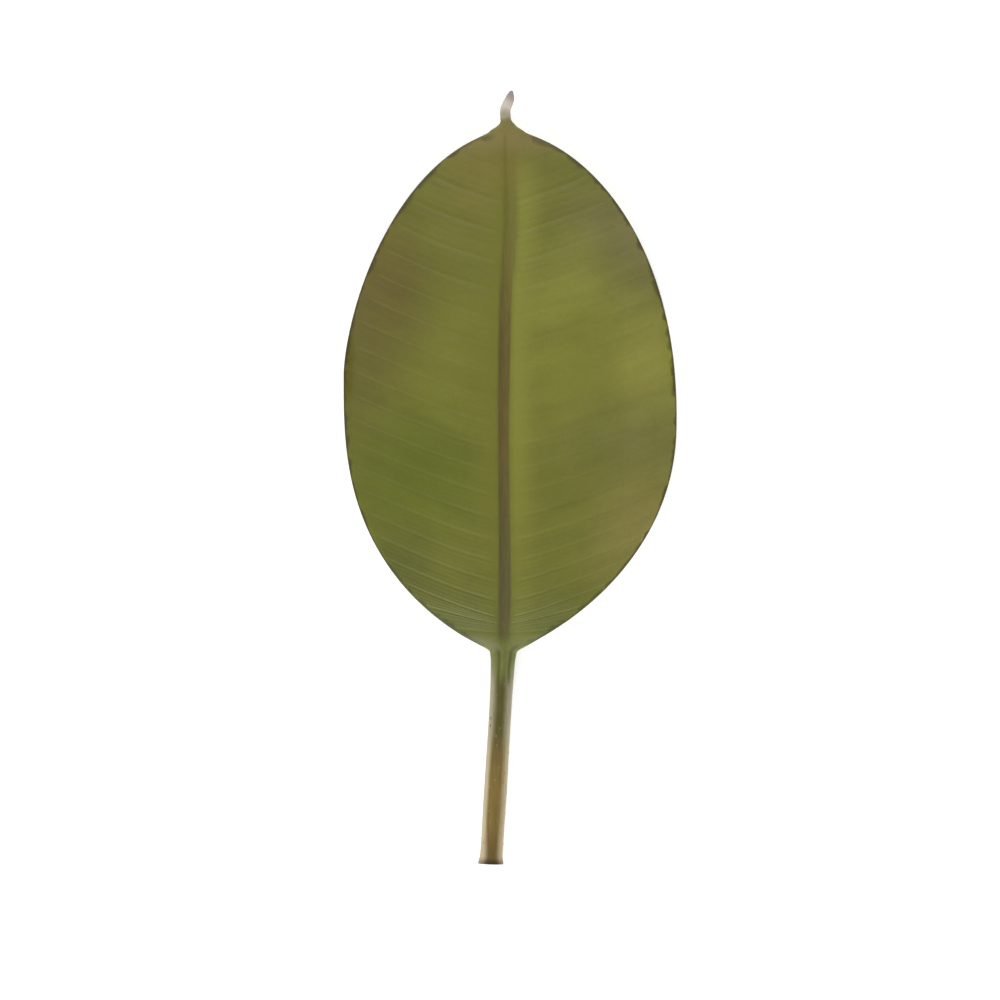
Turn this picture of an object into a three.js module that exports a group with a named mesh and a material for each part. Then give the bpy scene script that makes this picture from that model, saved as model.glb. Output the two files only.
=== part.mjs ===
// A rubber plant leaf, picked with its stalk and lying face up on a surface.
// The blade, its midrib and side veins, the stalk and the withered drip tip grew as one piece,
// so they are one closed solid.
// Millimetres. +Y runs from the stalk's cut end to the drip tip, +X is to the right of the
// upper face and +Z is up. The leaf is drawn from the place where the stalk meets the blade,
// and moved at the end so that the origin lies under the middle of its box, on the surface.

import * as THREE from "three";

// Driving dimensions
const BLADE_LENGTH = 170;
const BLADE_THICKNESS = 0.8;
const STALK_LENGTH = 68.5;
const DRIP_TIP_LENGTH = 11.3;
const OUTLINE_LENGTH = 168.45; // the two halves' curves meet here, inside the drip tip's root

// Each half of the blade: its width, where along the outline it is widest, how full the
// outline is towards the base and towards the tip, and where on that side of the stalk its
// furrow runs, in radians from the top.
const LEFT_HALF = {
  side: -1,
  width: 55.3,
  widestAt: 0.535,
  base: { power: 2.61, fullness: 0.758 },
  tip: { power: 1.61, fullness: 0.562 },
  ripplePhase: 2.5,
  furrowAngle: 0.36,
};
const RIGHT_HALF = {
  side: 1,
  width: 52.75,
  widestAt: 0.436,
  base: { power: 2.16, fullness: 0.751 },
  tip: { power: 2.2, fullness: 0.551 },
  ripplePhase: 1.2,
  furrowAngle: 0.62,
};
const AXIS_LEAN = 1.4; // how far the tip stands to the right of the base
const AXIS_BOW = 3.0; // how far the outline's middle bows to the right

// The spine runs along the top of the stalk, the midrib and the drip tip: [y, x, z].
const SPINE = [
  [-STALK_LENGTH, -3.85, 6.75],
  [-35, -1.75, 7.8],
  [0, 0.2, 10.4],
  [22, 0.65, 12.6],
  [75, 0.25, 14.4],
  [110, 0.75, 12.9],
  [140, 1.6, 9.7],
  [160, 1.1, 7.0],
  [BLADE_LENGTH, 1.2, 5.9],
  [173, 0.9, 5.6],
  [175.3, 0.85, 5.5],
  [177, 1.45, 5.6],
  [178.7, 2.2, 5.9],
  [BLADE_LENGTH + DRIP_TIP_LENGTH, 2.9, 6.8],
];

// Half-widths of the spine across and upright, in the stalk and in the drip tip: [y, across, upright].
const SPINE_GIRTH = [
  [-STALK_LENGTH, 4.15, 3.5],
  [-STALK_LENGTH + 1.1, 4.0, 3.5],
  [-STALK_LENGTH + 3.2, 3.65, 3.35],
  [-45, 3.72, 3.35],
  [-25, 3.6, 3.3],
  [-8, 3.75, 3.35],
  [0, 4.35, 3.3],
  [3, 6.0, 3.2],
  [20, 3.4, 2.6],
  [150, 1.6, 0.6],
  [168, 5.7, 0.55],
  [BLADE_LENGTH, 3.2, 0.55],
  [171.5, 1.9, 0.52],
  [173, 1.72, 0.5],
  [176, 1.72, 0.48],
  [178, 1.62, 0.45],
  [179.6, 1.3, 0.42],
  [BLADE_LENGTH + DRIP_TIP_LENGTH, 0.5, 0.3],
];

// Cross-section of the blade
const GUTTER_RISE = 1.9; // height of each half's crest beside the midrib
const GUTTER_CREST_AT = 0.3; // where that crest is, from the midrib 0 to the margin 1
const DROOP_POWER = 2.3; // the halves droop slowly at first, then faster
const TOUCH_AT = 0.56; // along the blade, where the margins come down to the surface
const TOUCH_SPREAD = 0.3;
const TOUCH_PRESS = 1.75; // how much lower they would hang with no surface under them
const TOUCH_SOFTNESS = 0.5; // height over which the surface starts to bear a margin
const RIPPLE_HEIGHT = 0.7;
const RIPPLES = 2.6;
const MARGIN_ROLL = 0.7; // the margin's extra turn downwards
const MARGIN_ROLL_FROM = 0.93;
const EDGE_TUCK = 0.2; // how far the lower edge stands inside the upper one, in its last strip

// The midrib: a shallow channel above and a round keel below
const CHANNEL_HALF_WIDTH = [
  [0, 2.5],
  [20, 2.1],
  [115, 1.9],
  [BLADE_LENGTH, 0.7],
];
const CHANNEL_DEPTH = 0.55;
const CHANNEL_FLOOR = 0.35; // the flat of its floor, in channel half-widths
const CHANNEL_BANK = 1.05; // the top of its banks, in channel half-widths
const CHANNEL_STARTS = [3, 9]; // there the stalk's ridge gives way to the channel
const CHANNEL_FADES = [118, 166]; // and there it grows shallow towards the tip
const CHANNEL_LEFT_AT_TIP = 0.25; // share of its depth that is left there
const KEEL_OVER_CHANNEL = 1.35; // the keel's half-width, in half-widths of the channel
const KEEL_SHARE = 0.92; // of the blade's half-width, where that is narrow
const KEEL_DEPTH = [
  [0, 5.3],
  [12, 4.2],
  [28, 3.2],
  [85, 1.8],
  [140, 0.8],
  [BLADE_LENGTH, 0.25],
];

// Two furrows run down the stalk from the blade's lower corners and fade out.
const FURROW_DEPTH = 0.4;
const FURROW_HALF_ANGLE = 0.22;
const FURROW_DEEPENS = [-24, -3];
const FURROW_ENDS = [0, 5];

// The side veins
const VEIN_PAIRS = 21;
const VEIN_TILT = 0.36; // rise towards the tip for each millimetre outwards
const VEIN_TILTS_BY = 0.15; // the first veins, up to here along the blade, rise less
const VEIN_CURVE = 1.25; // over 1, a vein turns up as it nears the margin
const VEIN_FLANK = 0.14; // half a vein's width, in vein spacings
const EXTRA_STATIONS_PAST = 0.36; // beyond this share of the veins from the middle one, each way
const VEIN_SUNK = 0.18; // on the upper face
const VEIN_RAISED = 0.34; // on the lower face
const VEIN_LEAVES_RIB = [0.05, 0.14]; // a vein starts to show here, from midrib 0 to margin 1
const VEIN_MEETS_MARGIN = [0.9, 0.975]; // and fades here
const VEINS_FROM_BASE = [3, 16]; // the veins near the base are weaker
const VEINS_FROM_TIP = [3, 18]; // and so are the ones near the tip

const CUT_HOLLOW = 0.35; // depth of the shrunken middle of the cut end
const TIP_POINT = 0.2; // how far the drip tip's end stands out
const RIB_SHARES = [0, 0.33, 0.56, 0.76, 1.0]; // from the midrib's middle to the keel's edge
const BLADE_SHARES = [0.13, 0.29, 0.46, 0.63, 0.79, 0.91, 0.974, 1.0]; // from the keel outwards
const HALF_COLUMNS = RIB_SHARES.length - 1 + BLADE_SHARES.length;
const STALK_STATIONS = [0, 0.5, 1.2, 2.2, 3.6, 10, 20, 30, 40, 48, 54, 59, 63]; // from the cut
const JOIN_STATIONS = [-3.2, -1.8, -0.7, 0.2, 1, 1.9, 2.9, 4.2, 5.5]; // from the blade's base
const TIP_STATIONS = [
  -3, -2.2, -1.7, -1.2, -0.4, 0.6, 1.8, 3.1, 4.4, 5.6, 6.8, 8, 9.1, 10.1, 10.8, DRIP_TIP_LENGTH,
]; // from the blade's tip
const ROUND_CLOSING = 0.96; // a round section's two faces stop just short of meeting
const BASE_BLEND = [-2.4, 6.4]; // where the round stalk turns into the flat blade
const TIP_BLEND = [BLADE_LENGTH - 4, BLADE_LENGTH + 1]; // and the flat blade into the drip tip
const JOIN_SHARPNESS = 3.9; // how tightly the outline turns from stalk to blade
const LESSER_POWER = 8; // how tightly a soft lesser turns from one length to the other
const TANGENT_STEP = 0.1;

const smooth = THREE.MathUtils.smoothstep;

// A smooth curve through rows of [y, value, ...], read at y, for the value in that column.
function through(rows, y, column = 1) {
  const last = rows.length - 1;
  const at = THREE.MathUtils.clamp(y, rows[0][0], rows[last][0]);
  let i = 0;
  while (i < last - 1 && at > rows[i + 1][0]) i += 1;
  const slope = (k) => {
    const before = rows[Math.max(k - 1, 0)];
    const after = rows[Math.min(k + 1, last)];
    return (after[column] - before[column]) / (after[0] - before[0]);
  };
  const span = rows[i + 1][0] - rows[i][0];
  const t = (at - rows[i][0]) / span;
  const from = rows[i][column];
  const to = rows[i + 1][column];
  const t2 = t * t;
  const t3 = t2 * t;
  return (
    (2 * t3 - 3 * t2 + 1) * from +
    (t3 - 2 * t2 + t) * span * slope(i) +
    (3 * t2 - 2 * t3) * to +
    (t3 - t2) * span * slope(i + 1)
  );
}

// The lesser of two lengths, rounded where they are alike.
function softLesser(a, b) {
  return Math.pow(Math.pow(a, -LESSER_POWER) + Math.pow(b, -LESSER_POWER), -1 / LESSER_POWER);
}

// The outline's half-width at y, as a share of its greatest width.
function outlineShare(half, y) {
  const u = THREE.MathUtils.clamp(y / OUTLINE_LENGTH, 0, 1);
  const towardsBase = u < half.widestAt;
  const end = towardsBase ? half.base : half.tip;
  const t = towardsBase
    ? (half.widestAt - u) / half.widestAt
    : (u - half.widestAt) / (1 - half.widestAt);
  return Math.pow(Math.max(1 - Math.pow(t, end.power), 0), end.fullness);
}

// The middle of the blade's outline, which the midrib follows closely but not exactly.
function axisX(y) {
  const u = y / BLADE_LENGTH;
  return AXIS_LEAN * u + AXIS_BOW * Math.sin(Math.PI * u);
}

// How flat the section is: 0 in the stalk and the drip tip, 1 in the blade.
function flatness(y) {
  return Math.min(smooth(y, ...BASE_BLEND), 1 - smooth(y, ...TIP_BLEND));
}

// Where a side vein leaves the midrib, for a vein that meets the margin at y.
function veinRoot(half, y) {
  const opening = smooth(y / BLADE_LENGTH, 0, VEIN_TILTS_BY);
  return y - VEIN_TILT * opening * half.width * outlineShare(half, y);
}

// How much of a side vein shows at share g of the way from midrib to margin.
function veinShow(g, y) {
  const ends = smooth(y, ...VEINS_FROM_BASE) * smooth(BLADE_LENGTH - y, ...VEINS_FROM_TIP);
  return ends * smooth(g, ...VEIN_LEAVES_RIB) * (1 - smooth(g, ...VEIN_MEETS_MARGIN));
}

// A gutter's height beside the midrib at share g, as a share of its crest's height.
function gutterShare(g) {
  const crest = g / GUTTER_CREST_AT;
  return crest * Math.exp(1 - crest);
}

// Height of the blade's lower face at share g from midrib to margin. At the midrib it is ribHeight.
function bladeUnderside(half, g, y, ribHeight) {
  const share = outlineShare(half, y);
  const u = y / BLADE_LENGTH;
  const touch = Math.exp(-Math.pow((u - TOUCH_AT) / TOUCH_SPREAD, 2));
  const gutter = GUTTER_RISE * share * (gutterShare(g) - gutterShare(1) * g * g);
  const marginDrop = (ribHeight - RIPPLE_HEIGHT + TOUCH_PRESS) * touch * Math.sqrt(share);
  const ripple = RIPPLE_HEIGHT * share * Math.sin(2 * Math.PI * RIPPLES * u + half.ripplePhase);
  const roll = MARGIN_ROLL * share * (1 - touch) * Math.pow(smooth(g, MARGIN_ROLL_FROM, 1), 2);
  return ribHeight + gutter - marginDrop * Math.pow(g, DROOP_POWER) + ripple * g * g - roll;
}

// The height at which the surface holds a margin that would hang at the height given.
function restOnSurface(height) {
  if (height > TOUCH_SOFTNESS) return height;
  if (height < -TOUCH_SOFTNESS) return 0;
  return Math.pow(height + TOUCH_SOFTNESS, 2) / (4 * TOUCH_SOFTNESS);
}

// How far outwards from the midrib each column of the section at station y stands.
function columnOffsets(half, y, flat) {
  const grown = half.width * outlineShare(half, y);
  const stalk = through(SPINE_GIRTH, y);
  const halfWidth = Math.pow(
    Math.pow(grown, JOIN_SHARPNESS) + Math.pow(stalk, JOIN_SHARPNESS),
    1 / JOIN_SHARPNESS,
  );
  const rootY = veinRoot(half, y);
  const aside = (axisX(THREE.MathUtils.clamp(y, 0, BLADE_LENGTH)) - through(SPINE, rootY)) * flat;
  const reach = halfWidth + half.side * aside;
  const keelEdge = softLesser(
    KEEL_OVER_CHANNEL * through(CHANNEL_HALF_WIDTH, rootY),
    KEEL_SHARE * reach,
  );
  const onRib = RIB_SHARES.map((share) => share * keelEdge);
  const onBlade = BLADE_SHARES.map((bladeShare, i) => {
    const share = THREE.MathUtils.lerp((i + 1) / BLADE_SHARES.length, bladeShare, flat);
    return THREE.MathUtils.lerp(keelEdge, reach, share);
  });
  return { rootY, reach, keelEdge, offsets: [...onRib, ...onBlade] };
}

// A point of the round section of the stalk or the drip tip.
function roundPoint(half, y, offset, reach, lower) {
  const upright = through(SPINE_GIRTH, y, 2);
  const angle = Math.asin(Math.min(offset / reach, 1)) * ROUND_CLOSING;
  const furrowFade = smooth(y, ...FURROW_DEEPENS) * (1 - smooth(y, ...FURROW_ENDS));
  const fromFurrow = (angle - half.furrowAngle) / FURROW_HALF_ANGLE;
  const furrow = lower ? 0 : FURROW_DEPTH * furrowFade * Math.exp(-fromFurrow * fromFurrow);
  const sideStep = through(SPINE, y + TANGENT_STEP) - through(SPINE, y - TANGENT_STEP);
  const turn = Math.atan(sideStep / (2 * TANGENT_STEP));
  const x = (reach - furrow) * Math.sin(angle) * half.side;
  const z = (upright - furrow) * Math.cos(angle) * (lower ? -1 : 1);
  return new THREE.Vector3(
    through(SPINE, y) + x * Math.cos(turn),
    y - x * Math.sin(turn),
    through(SPINE, y, 2) - upright + z,
  );
}

// A point of the blade's section, which slants towards the tip along a side vein.
function bladePoint(half, y, columns, k, veinHere, lower) {
  const { rootY, reach, keelEdge, offsets } = columns;
  const offset = offsets[k];
  const g = offset / reach;
  const pointY = rootY + (y - rootY) * Math.pow(g, VEIN_CURVE);
  const ribHeight = through(SPINE, pointY, 2) - BLADE_THICKNESS;
  const underside = restOnSurface(bladeUnderside(half, g, y, ribHeight));
  const acrossRib = Math.min(offset / keelEdge, 1);
  const keel = through(KEEL_DEPTH, rootY) * Math.sqrt(1 - acrossRib * acrossRib);
  const inChannel = 1 - smooth(acrossRib * KEEL_OVER_CHANNEL, CHANNEL_FLOOR, CHANNEL_BANK);
  const shallow = THREE.MathUtils.lerp(1, CHANNEL_LEFT_AT_TIP, smooth(rootY, ...CHANNEL_FADES));
  const channel = CHANNEL_DEPTH * inChannel * shallow * smooth(rootY, ...CHANNEL_STARTS);
  const shown = veinHere * veinShow(g, y);
  const above = underside + BLADE_THICKNESS - channel - VEIN_SUNK * shown;
  const below = Math.max(underside - keel - VEIN_RAISED * shown, 0);
  const tuck = lower && k === HALF_COLUMNS ? EDGE_TUCK * (reach - offsets[k - 1]) : 0;
  return new THREE.Vector3(
    through(SPINE, rootY) + half.side * (offset - tuck),
    pointY,
    lower ? below : above,
  );
}

// One point of the section at station y: column k counts outwards from the midrib.
function sectionPoint(half, k, y, veinHere, lower) {
  const flat = flatness(y);
  const columns = columnOffsets(half, y, flat);
  const point = roundPoint(half, y, columns.offsets[k], columns.reach, lower);
  return flat > 0 ? point.lerp(bladePoint(half, y, columns, k, veinHere, lower), flat) : point;
}

// The stations: where each section meets the margin, and whether a side vein runs along it.
function stations() {
  const rows = [];
  const add = (y, vein = 0) => rows.push({ y, vein });
  for (const fromCut of STALK_STATIONS) add(fromCut - STALK_LENGTH);
  for (const y of JOIN_STATIONS) add(y);
  const spacing = BLADE_LENGTH / (VEIN_PAIRS + 1);
  for (let vein = 1; vein <= VEIN_PAIRS; vein += 1) {
    add((vein - VEIN_FLANK) * spacing);
    add(vein * spacing, 1);
    add((vein + VEIN_FLANK) * spacing);
    const fromMiddle = Math.abs(vein - VEIN_PAIRS / 2) / VEIN_PAIRS;
    if (fromMiddle > EXTRA_STATIONS_PAST) add((vein + 0.5) * spacing);
  }
  for (const pastTip of TIP_STATIONS) add(BLADE_LENGTH + pastTip);
  return rows;
}

// The section at a station as two rows of points, upper and lower, from left to right.
// The stalk's end is worn flat by the surface that it lies on.
function section({ y, vein }) {
  const columns = [];
  for (let k = HALF_COLUMNS; k > 0; k -= 1) columns.push([LEFT_HALF, k]);
  for (let k = 0; k <= HALF_COLUMNS; k += 1) columns.push([RIGHT_HALF, k]);
  const upper = [];
  const lower = [];
  for (const [half, k] of columns) {
    upper.push(sectionPoint(half, k, y, vein, false));
    const under = sectionPoint(half, k, y, vein, true);
    under.z = Math.max(under.z, 0);
    lower.push(under);
  }
  return { upper, lower };
}

// Both faces of the leaf, split into triangles alike, with its margins and two ends closed.
function leafGeometry() {
  const sections = stations().map(section);
  const across = sections[0].upper.length;
  const points = sections.flatMap(({ upper, lower }) => [...upper, ...lower]);
  const above = (row, column) => row * 2 * across + column;
  const below = (row, column) => above(row, column) + across;
  const faces = [];
  const quad = (a, b, c, d) => faces.push(a, b, c, a, c, d);

  for (let row = 0; row + 1 < sections.length; row += 1) {
    const next = row + 1;
    for (let column = 0; column + 1 < across; column += 1) {
      const right = column + 1;
      if (column < HALF_COLUMNS) {
        quad(above(row, column), above(row, right), above(next, right), above(next, column));
        quad(below(next, right), below(row, right), below(row, column), below(next, column));
      } else {
        quad(above(row, right), above(next, right), above(next, column), above(row, column));
        quad(below(row, right), below(row, column), below(next, column), below(next, right));
      }
    }
    quad(above(row, 0), above(next, 0), below(next, 0), below(row, 0));
    const edge = across - 1;
    quad(above(row, edge), below(row, edge), below(next, edge), above(next, edge));
  }

  const closeEnd = (row, middle, outwards) => {
    points.push(middle);
    const hub = points.length - 1;
    const ring = [];
    for (let column = 0; column < across; column += 1) ring.push(above(row, column));
    for (let column = across - 1; column >= 0; column -= 1) ring.push(below(row, column));
    ring.forEach((point, i) => {
      const following = ring[(i + 1) % ring.length];
      if (outwards) faces.push(hub, following, point);
      else faces.push(hub, point, following);
    });
  };
  const endMiddle = (y, beyond) =>
    new THREE.Vector3(through(SPINE, y), y + beyond, through(SPINE, y, 2) - through(SPINE_GIRTH, y, 2));
  closeEnd(0, endMiddle(-STALK_LENGTH, CUT_HOLLOW), true);
  closeEnd(sections.length - 1, endMiddle(BLADE_LENGTH + DRIP_TIP_LENGTH, TIP_POINT), false);

  const geometry = new THREE.BufferGeometry().setFromPoints(points);
  geometry.setIndex(faces);
  geometry.computeBoundingBox();
  const box = geometry.boundingBox;
  geometry.translate(-(box.min.x + box.max.x) / 2, -(box.min.y + box.max.y) / 2, -box.min.z);
  geometry.computeVertexNormals();
  return geometry;
}

const leafSkin = new THREE.MeshStandardMaterial({
  color: 0x70713a,
  roughness: 0.42,
  metalness: 0,
});

const leaf = new THREE.Mesh(leafGeometry(), leafSkin);
leaf.name = "leaf";

const rubberPlantLeaf = new THREE.Group();
rubberPlantLeaf.add(leaf);

export default rubberPlantLeaf;
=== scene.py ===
"""A rubber plant leaf, picked with its stalk and lying face up on a pale surface.

Metres throughout. +Y runs from the stalk's cut end to the drip tip, +X is to the right of the
upper face and +Z is up. The leaf is drawn from the place where the stalk meets the blade, as the
frame's leaf was, and moved into the frame at the end.
"""

import logging
import math
from dataclasses import dataclass, field
from enum import IntEnum

import bpy
import numpy as np
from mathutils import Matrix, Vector


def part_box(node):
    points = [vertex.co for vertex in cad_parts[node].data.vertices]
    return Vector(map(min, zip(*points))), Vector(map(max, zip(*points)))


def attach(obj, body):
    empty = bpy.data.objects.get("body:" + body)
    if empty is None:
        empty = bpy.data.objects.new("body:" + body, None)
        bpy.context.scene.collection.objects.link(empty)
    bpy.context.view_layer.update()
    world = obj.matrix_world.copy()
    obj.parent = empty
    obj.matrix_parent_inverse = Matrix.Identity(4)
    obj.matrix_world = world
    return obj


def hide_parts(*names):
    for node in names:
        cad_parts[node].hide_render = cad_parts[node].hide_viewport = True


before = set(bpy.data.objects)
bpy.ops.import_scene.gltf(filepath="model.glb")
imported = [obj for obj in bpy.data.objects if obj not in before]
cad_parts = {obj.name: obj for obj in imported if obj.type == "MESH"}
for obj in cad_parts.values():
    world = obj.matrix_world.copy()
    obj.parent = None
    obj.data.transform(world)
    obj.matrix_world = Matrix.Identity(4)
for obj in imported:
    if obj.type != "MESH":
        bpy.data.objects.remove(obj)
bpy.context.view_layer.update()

MM = 0.001
MID_LEAF = 50 * MM
BLADE_OPENS = (0.4, 0.95)
EVEN = (1.0, 1.0, 1.0)
NOISE_SPAN = (0.3, 0.7)
NOISE_CORE = (0.35, 0.65)
LESSER_VEINS = 4.0

Socket = bpy.types.NodeSocket
Span = tuple[float, float]
Triple = tuple[float, float, float]
Colour = tuple[float, float, float, float]

log = logging.getLogger("leaf")


def smooth(value: np.ndarray, low: float, high: float) -> np.ndarray:
    """Eases from 0 at low to 1 at high.

    Args:
        value: the numbers to ease.
        low: where the rise starts.
        high: where it ends.

    Returns:
        The eased numbers, from 0 to 1.
    """
    share = np.clip((value - low) / (high - low), 0.0, 1.0)
    return share * share * (3.0 - 2.0 * share)


def between(start: np.ndarray, end: np.ndarray, share: np.ndarray) -> np.ndarray:
    """The value at that share of the way from start to end.

    Args:
        start: the value at 0.
        end: the value at 1.
        share: how far between them.

    Returns:
        The value there.
    """
    return start + (end - start) * share


def paint(red: int, green: int, blue: int) -> Colour:
    """A colour as a painter reads it off a screen, 0 to 255, made linear for a shader.

    Args:
        red: its red.
        green: its green.
        blue: its blue.

    Returns:
        The linear colour, with an alpha of 1.
    """
    shares = (channel / 255 for channel in (red, green, blue))
    linear = [s / 12.92 if s <= 0.04045 else ((s + 0.055) / 1.055) ** 2.4 for s in shares]
    return (*linear, 1.0)


@dataclass(frozen=True)
class Curve:
    """A smooth curve through given rows of (place, value, ...), in millimetres."""

    rows: tuple[tuple[float, ...], ...]

    def at(self, place: np.ndarray, column: int = 1) -> np.ndarray:
        """Reads the curve.

        Args:
            place: where along the leaf, in metres.
            column: which of a row's values to read.

        Returns:
            The value there, in metres.
        """
        table = np.array(self.rows) * MM
        places = table[:, 0]
        values = table[:, column]
        last = len(places) - 1
        at = np.clip(place, places[0], places[last])
        i = np.searchsorted(places[1:last], at, side="left")
        before = np.maximum(np.arange(last + 1) - 1, 0)
        after = np.minimum(np.arange(last + 1) + 1, last)
        slope = (values[after] - values[before]) / (places[after] - places[before])
        span = places[i + 1] - places[i]
        t = (at - places[i]) / span
        rise = 3 * t**2 - 2 * t**3
        lean_out = t**3 - 2 * t**2 + t
        lean_in = t**3 - t**2
        straight = between(values[i], values[i + 1], rise)
        return straight + span * (lean_out * slope[i] + lean_in * slope[i + 1])


class Zone(IntEnum):
    """The parts of the leaf's skin that have a finish of their own."""

    UPPER = 0
    UNDER = 1
    STALK = 2
    CUT = 3
    TIP = 4


@dataclass(frozen=True)
class HalfBlade:
    """One half of the blade: its width, and how full its outline is towards base and tip."""

    side: int
    width: float
    widest_at: float
    base_power: float
    base_fullness: float
    tip_power: float
    tip_fullness: float
    ripple_phase: float
    furrow_angle: float


LEFT_HALF = HalfBlade(-1, 55.3 * MM, 0.535, 2.61, 0.758, 1.61, 0.562, 2.5, 0.36)
RIGHT_HALF = HalfBlade(1, 52.75 * MM, 0.436, 2.16, 0.751, 2.2, 0.551, 1.2, 0.62)


@dataclass(frozen=True)
class Spine:
    """The line along the top of stalk, midrib and drip tip, and the round parts' girth."""

    line: Curve = Curve((
        (-68.5, -3.85, 6.75), (-35, -1.75, 7.8), (0, 0.2, 10.4), (22, 0.65, 12.6),
        (75, 0.25, 14.4), (110, 0.75, 12.9), (140, 1.6, 9.7), (160, 1.1, 7.0), (170, 1.2, 5.9),
        (173, 0.9, 5.6), (175.3, 0.85, 5.5), (177, 1.45, 5.6), (178.7, 2.2, 5.9),
        (181.3, 2.9, 6.8),
    ))
    girth: Curve = Curve((
        (-68.5, 4.15, 3.5), (-67.4, 4.0, 3.5), (-65.3, 3.65, 3.35), (-45, 3.72, 3.35),
        (-25, 3.6, 3.3), (-8, 3.75, 3.35), (0, 4.35, 3.3), (3, 6.0, 3.2), (20, 3.4, 2.6),
        (150, 1.6, 0.6), (168, 5.7, 0.55), (170, 3.2, 0.55), (171.5, 1.9, 0.52),
        (173, 1.72, 0.5), (176, 1.72, 0.48), (178, 1.62, 0.45), (179.6, 1.3, 0.42),
        (181.3, 0.5, 0.3),
    ))
    tangent_step: float = 0.1 * MM

    def x(self, y: np.ndarray) -> np.ndarray:
        """How far to the right the spine stands at y."""
        return self.line.at(y)

    def height(self, y: np.ndarray) -> np.ndarray:
        """How high the spine's top stands at y."""
        return self.line.at(y, 2)

    def turn(self, y: np.ndarray) -> np.ndarray:
        """How far the spine points to the side at y, in radians.

        Args:
            y: where along the leaf.

        Returns:
            The angle.
        """
        step = self.tangent_step
        return np.arctan((self.x(y + step) - self.x(y - step)) / (2 * step))


@dataclass(frozen=True)
class Midrib:
    """The channel in the upper face and the keel under it."""

    channel_half_width: Curve = Curve(((0, 2.5), (20, 2.1), (115, 1.9), (170, 0.7)))
    channel_depth: float = 0.55 * MM
    channel_floor: float = 0.35
    channel_bank: float = 1.05
    channel_starts: Span = (3 * MM, 9 * MM)
    channel_fades: Span = (118 * MM, 166 * MM)
    channel_left_at_tip: float = 0.25
    keel_over_channel: float = 1.35
    keel_share: float = 0.92
    keel_depth: Curve = Curve(((0, 5.3), (12, 4.2), (28, 3.2), (85, 1.8), (140, 0.8), (170, 0.25)))
    keel_roundness: float = 2.2
    lesser_power: int = 8

    def keel_edge(self, root: np.ndarray, reach: np.ndarray) -> np.ndarray:
        """The keel's half-width at root, which narrows with the blade where that is narrow.

        Args:
            root: where on the midrib.
            reach: the blade's half-width there.

        Returns:
            The half-width.
        """
        wide = self.keel_over_channel * self.channel_half_width.at(root)
        narrow = self.keel_share * reach
        power = self.lesser_power
        return (wide**-power + narrow**-power) ** (-1 / power)

    def keel(self, root: np.ndarray, across: np.ndarray) -> np.ndarray:
        """How far the keel hangs below the blade, at a share across its half-width.

        Args:
            root: where on the midrib.
            across: the share, from 0 to 1.

        Returns:
            The depth.
        """
        roundness = self.keel_roundness
        return self.keel_depth.at(root) * (1 - across**roundness) ** (1 / roundness)

    def channel(self, root: np.ndarray, across: np.ndarray) -> np.ndarray:
        """How far the channel lies below the blade's upper face.

        Args:
            root: where on the midrib.
            across: the share of the keel's half-width.

        Returns:
            The depth.
        """
        place = across * self.keel_over_channel
        inside = 1 - smooth(place, self.channel_floor, self.channel_bank)
        shallow = between(1.0, self.channel_left_at_tip, smooth(root, *self.channel_fades))
        return self.channel_depth * inside * shallow * smooth(root, *self.channel_starts)


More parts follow.
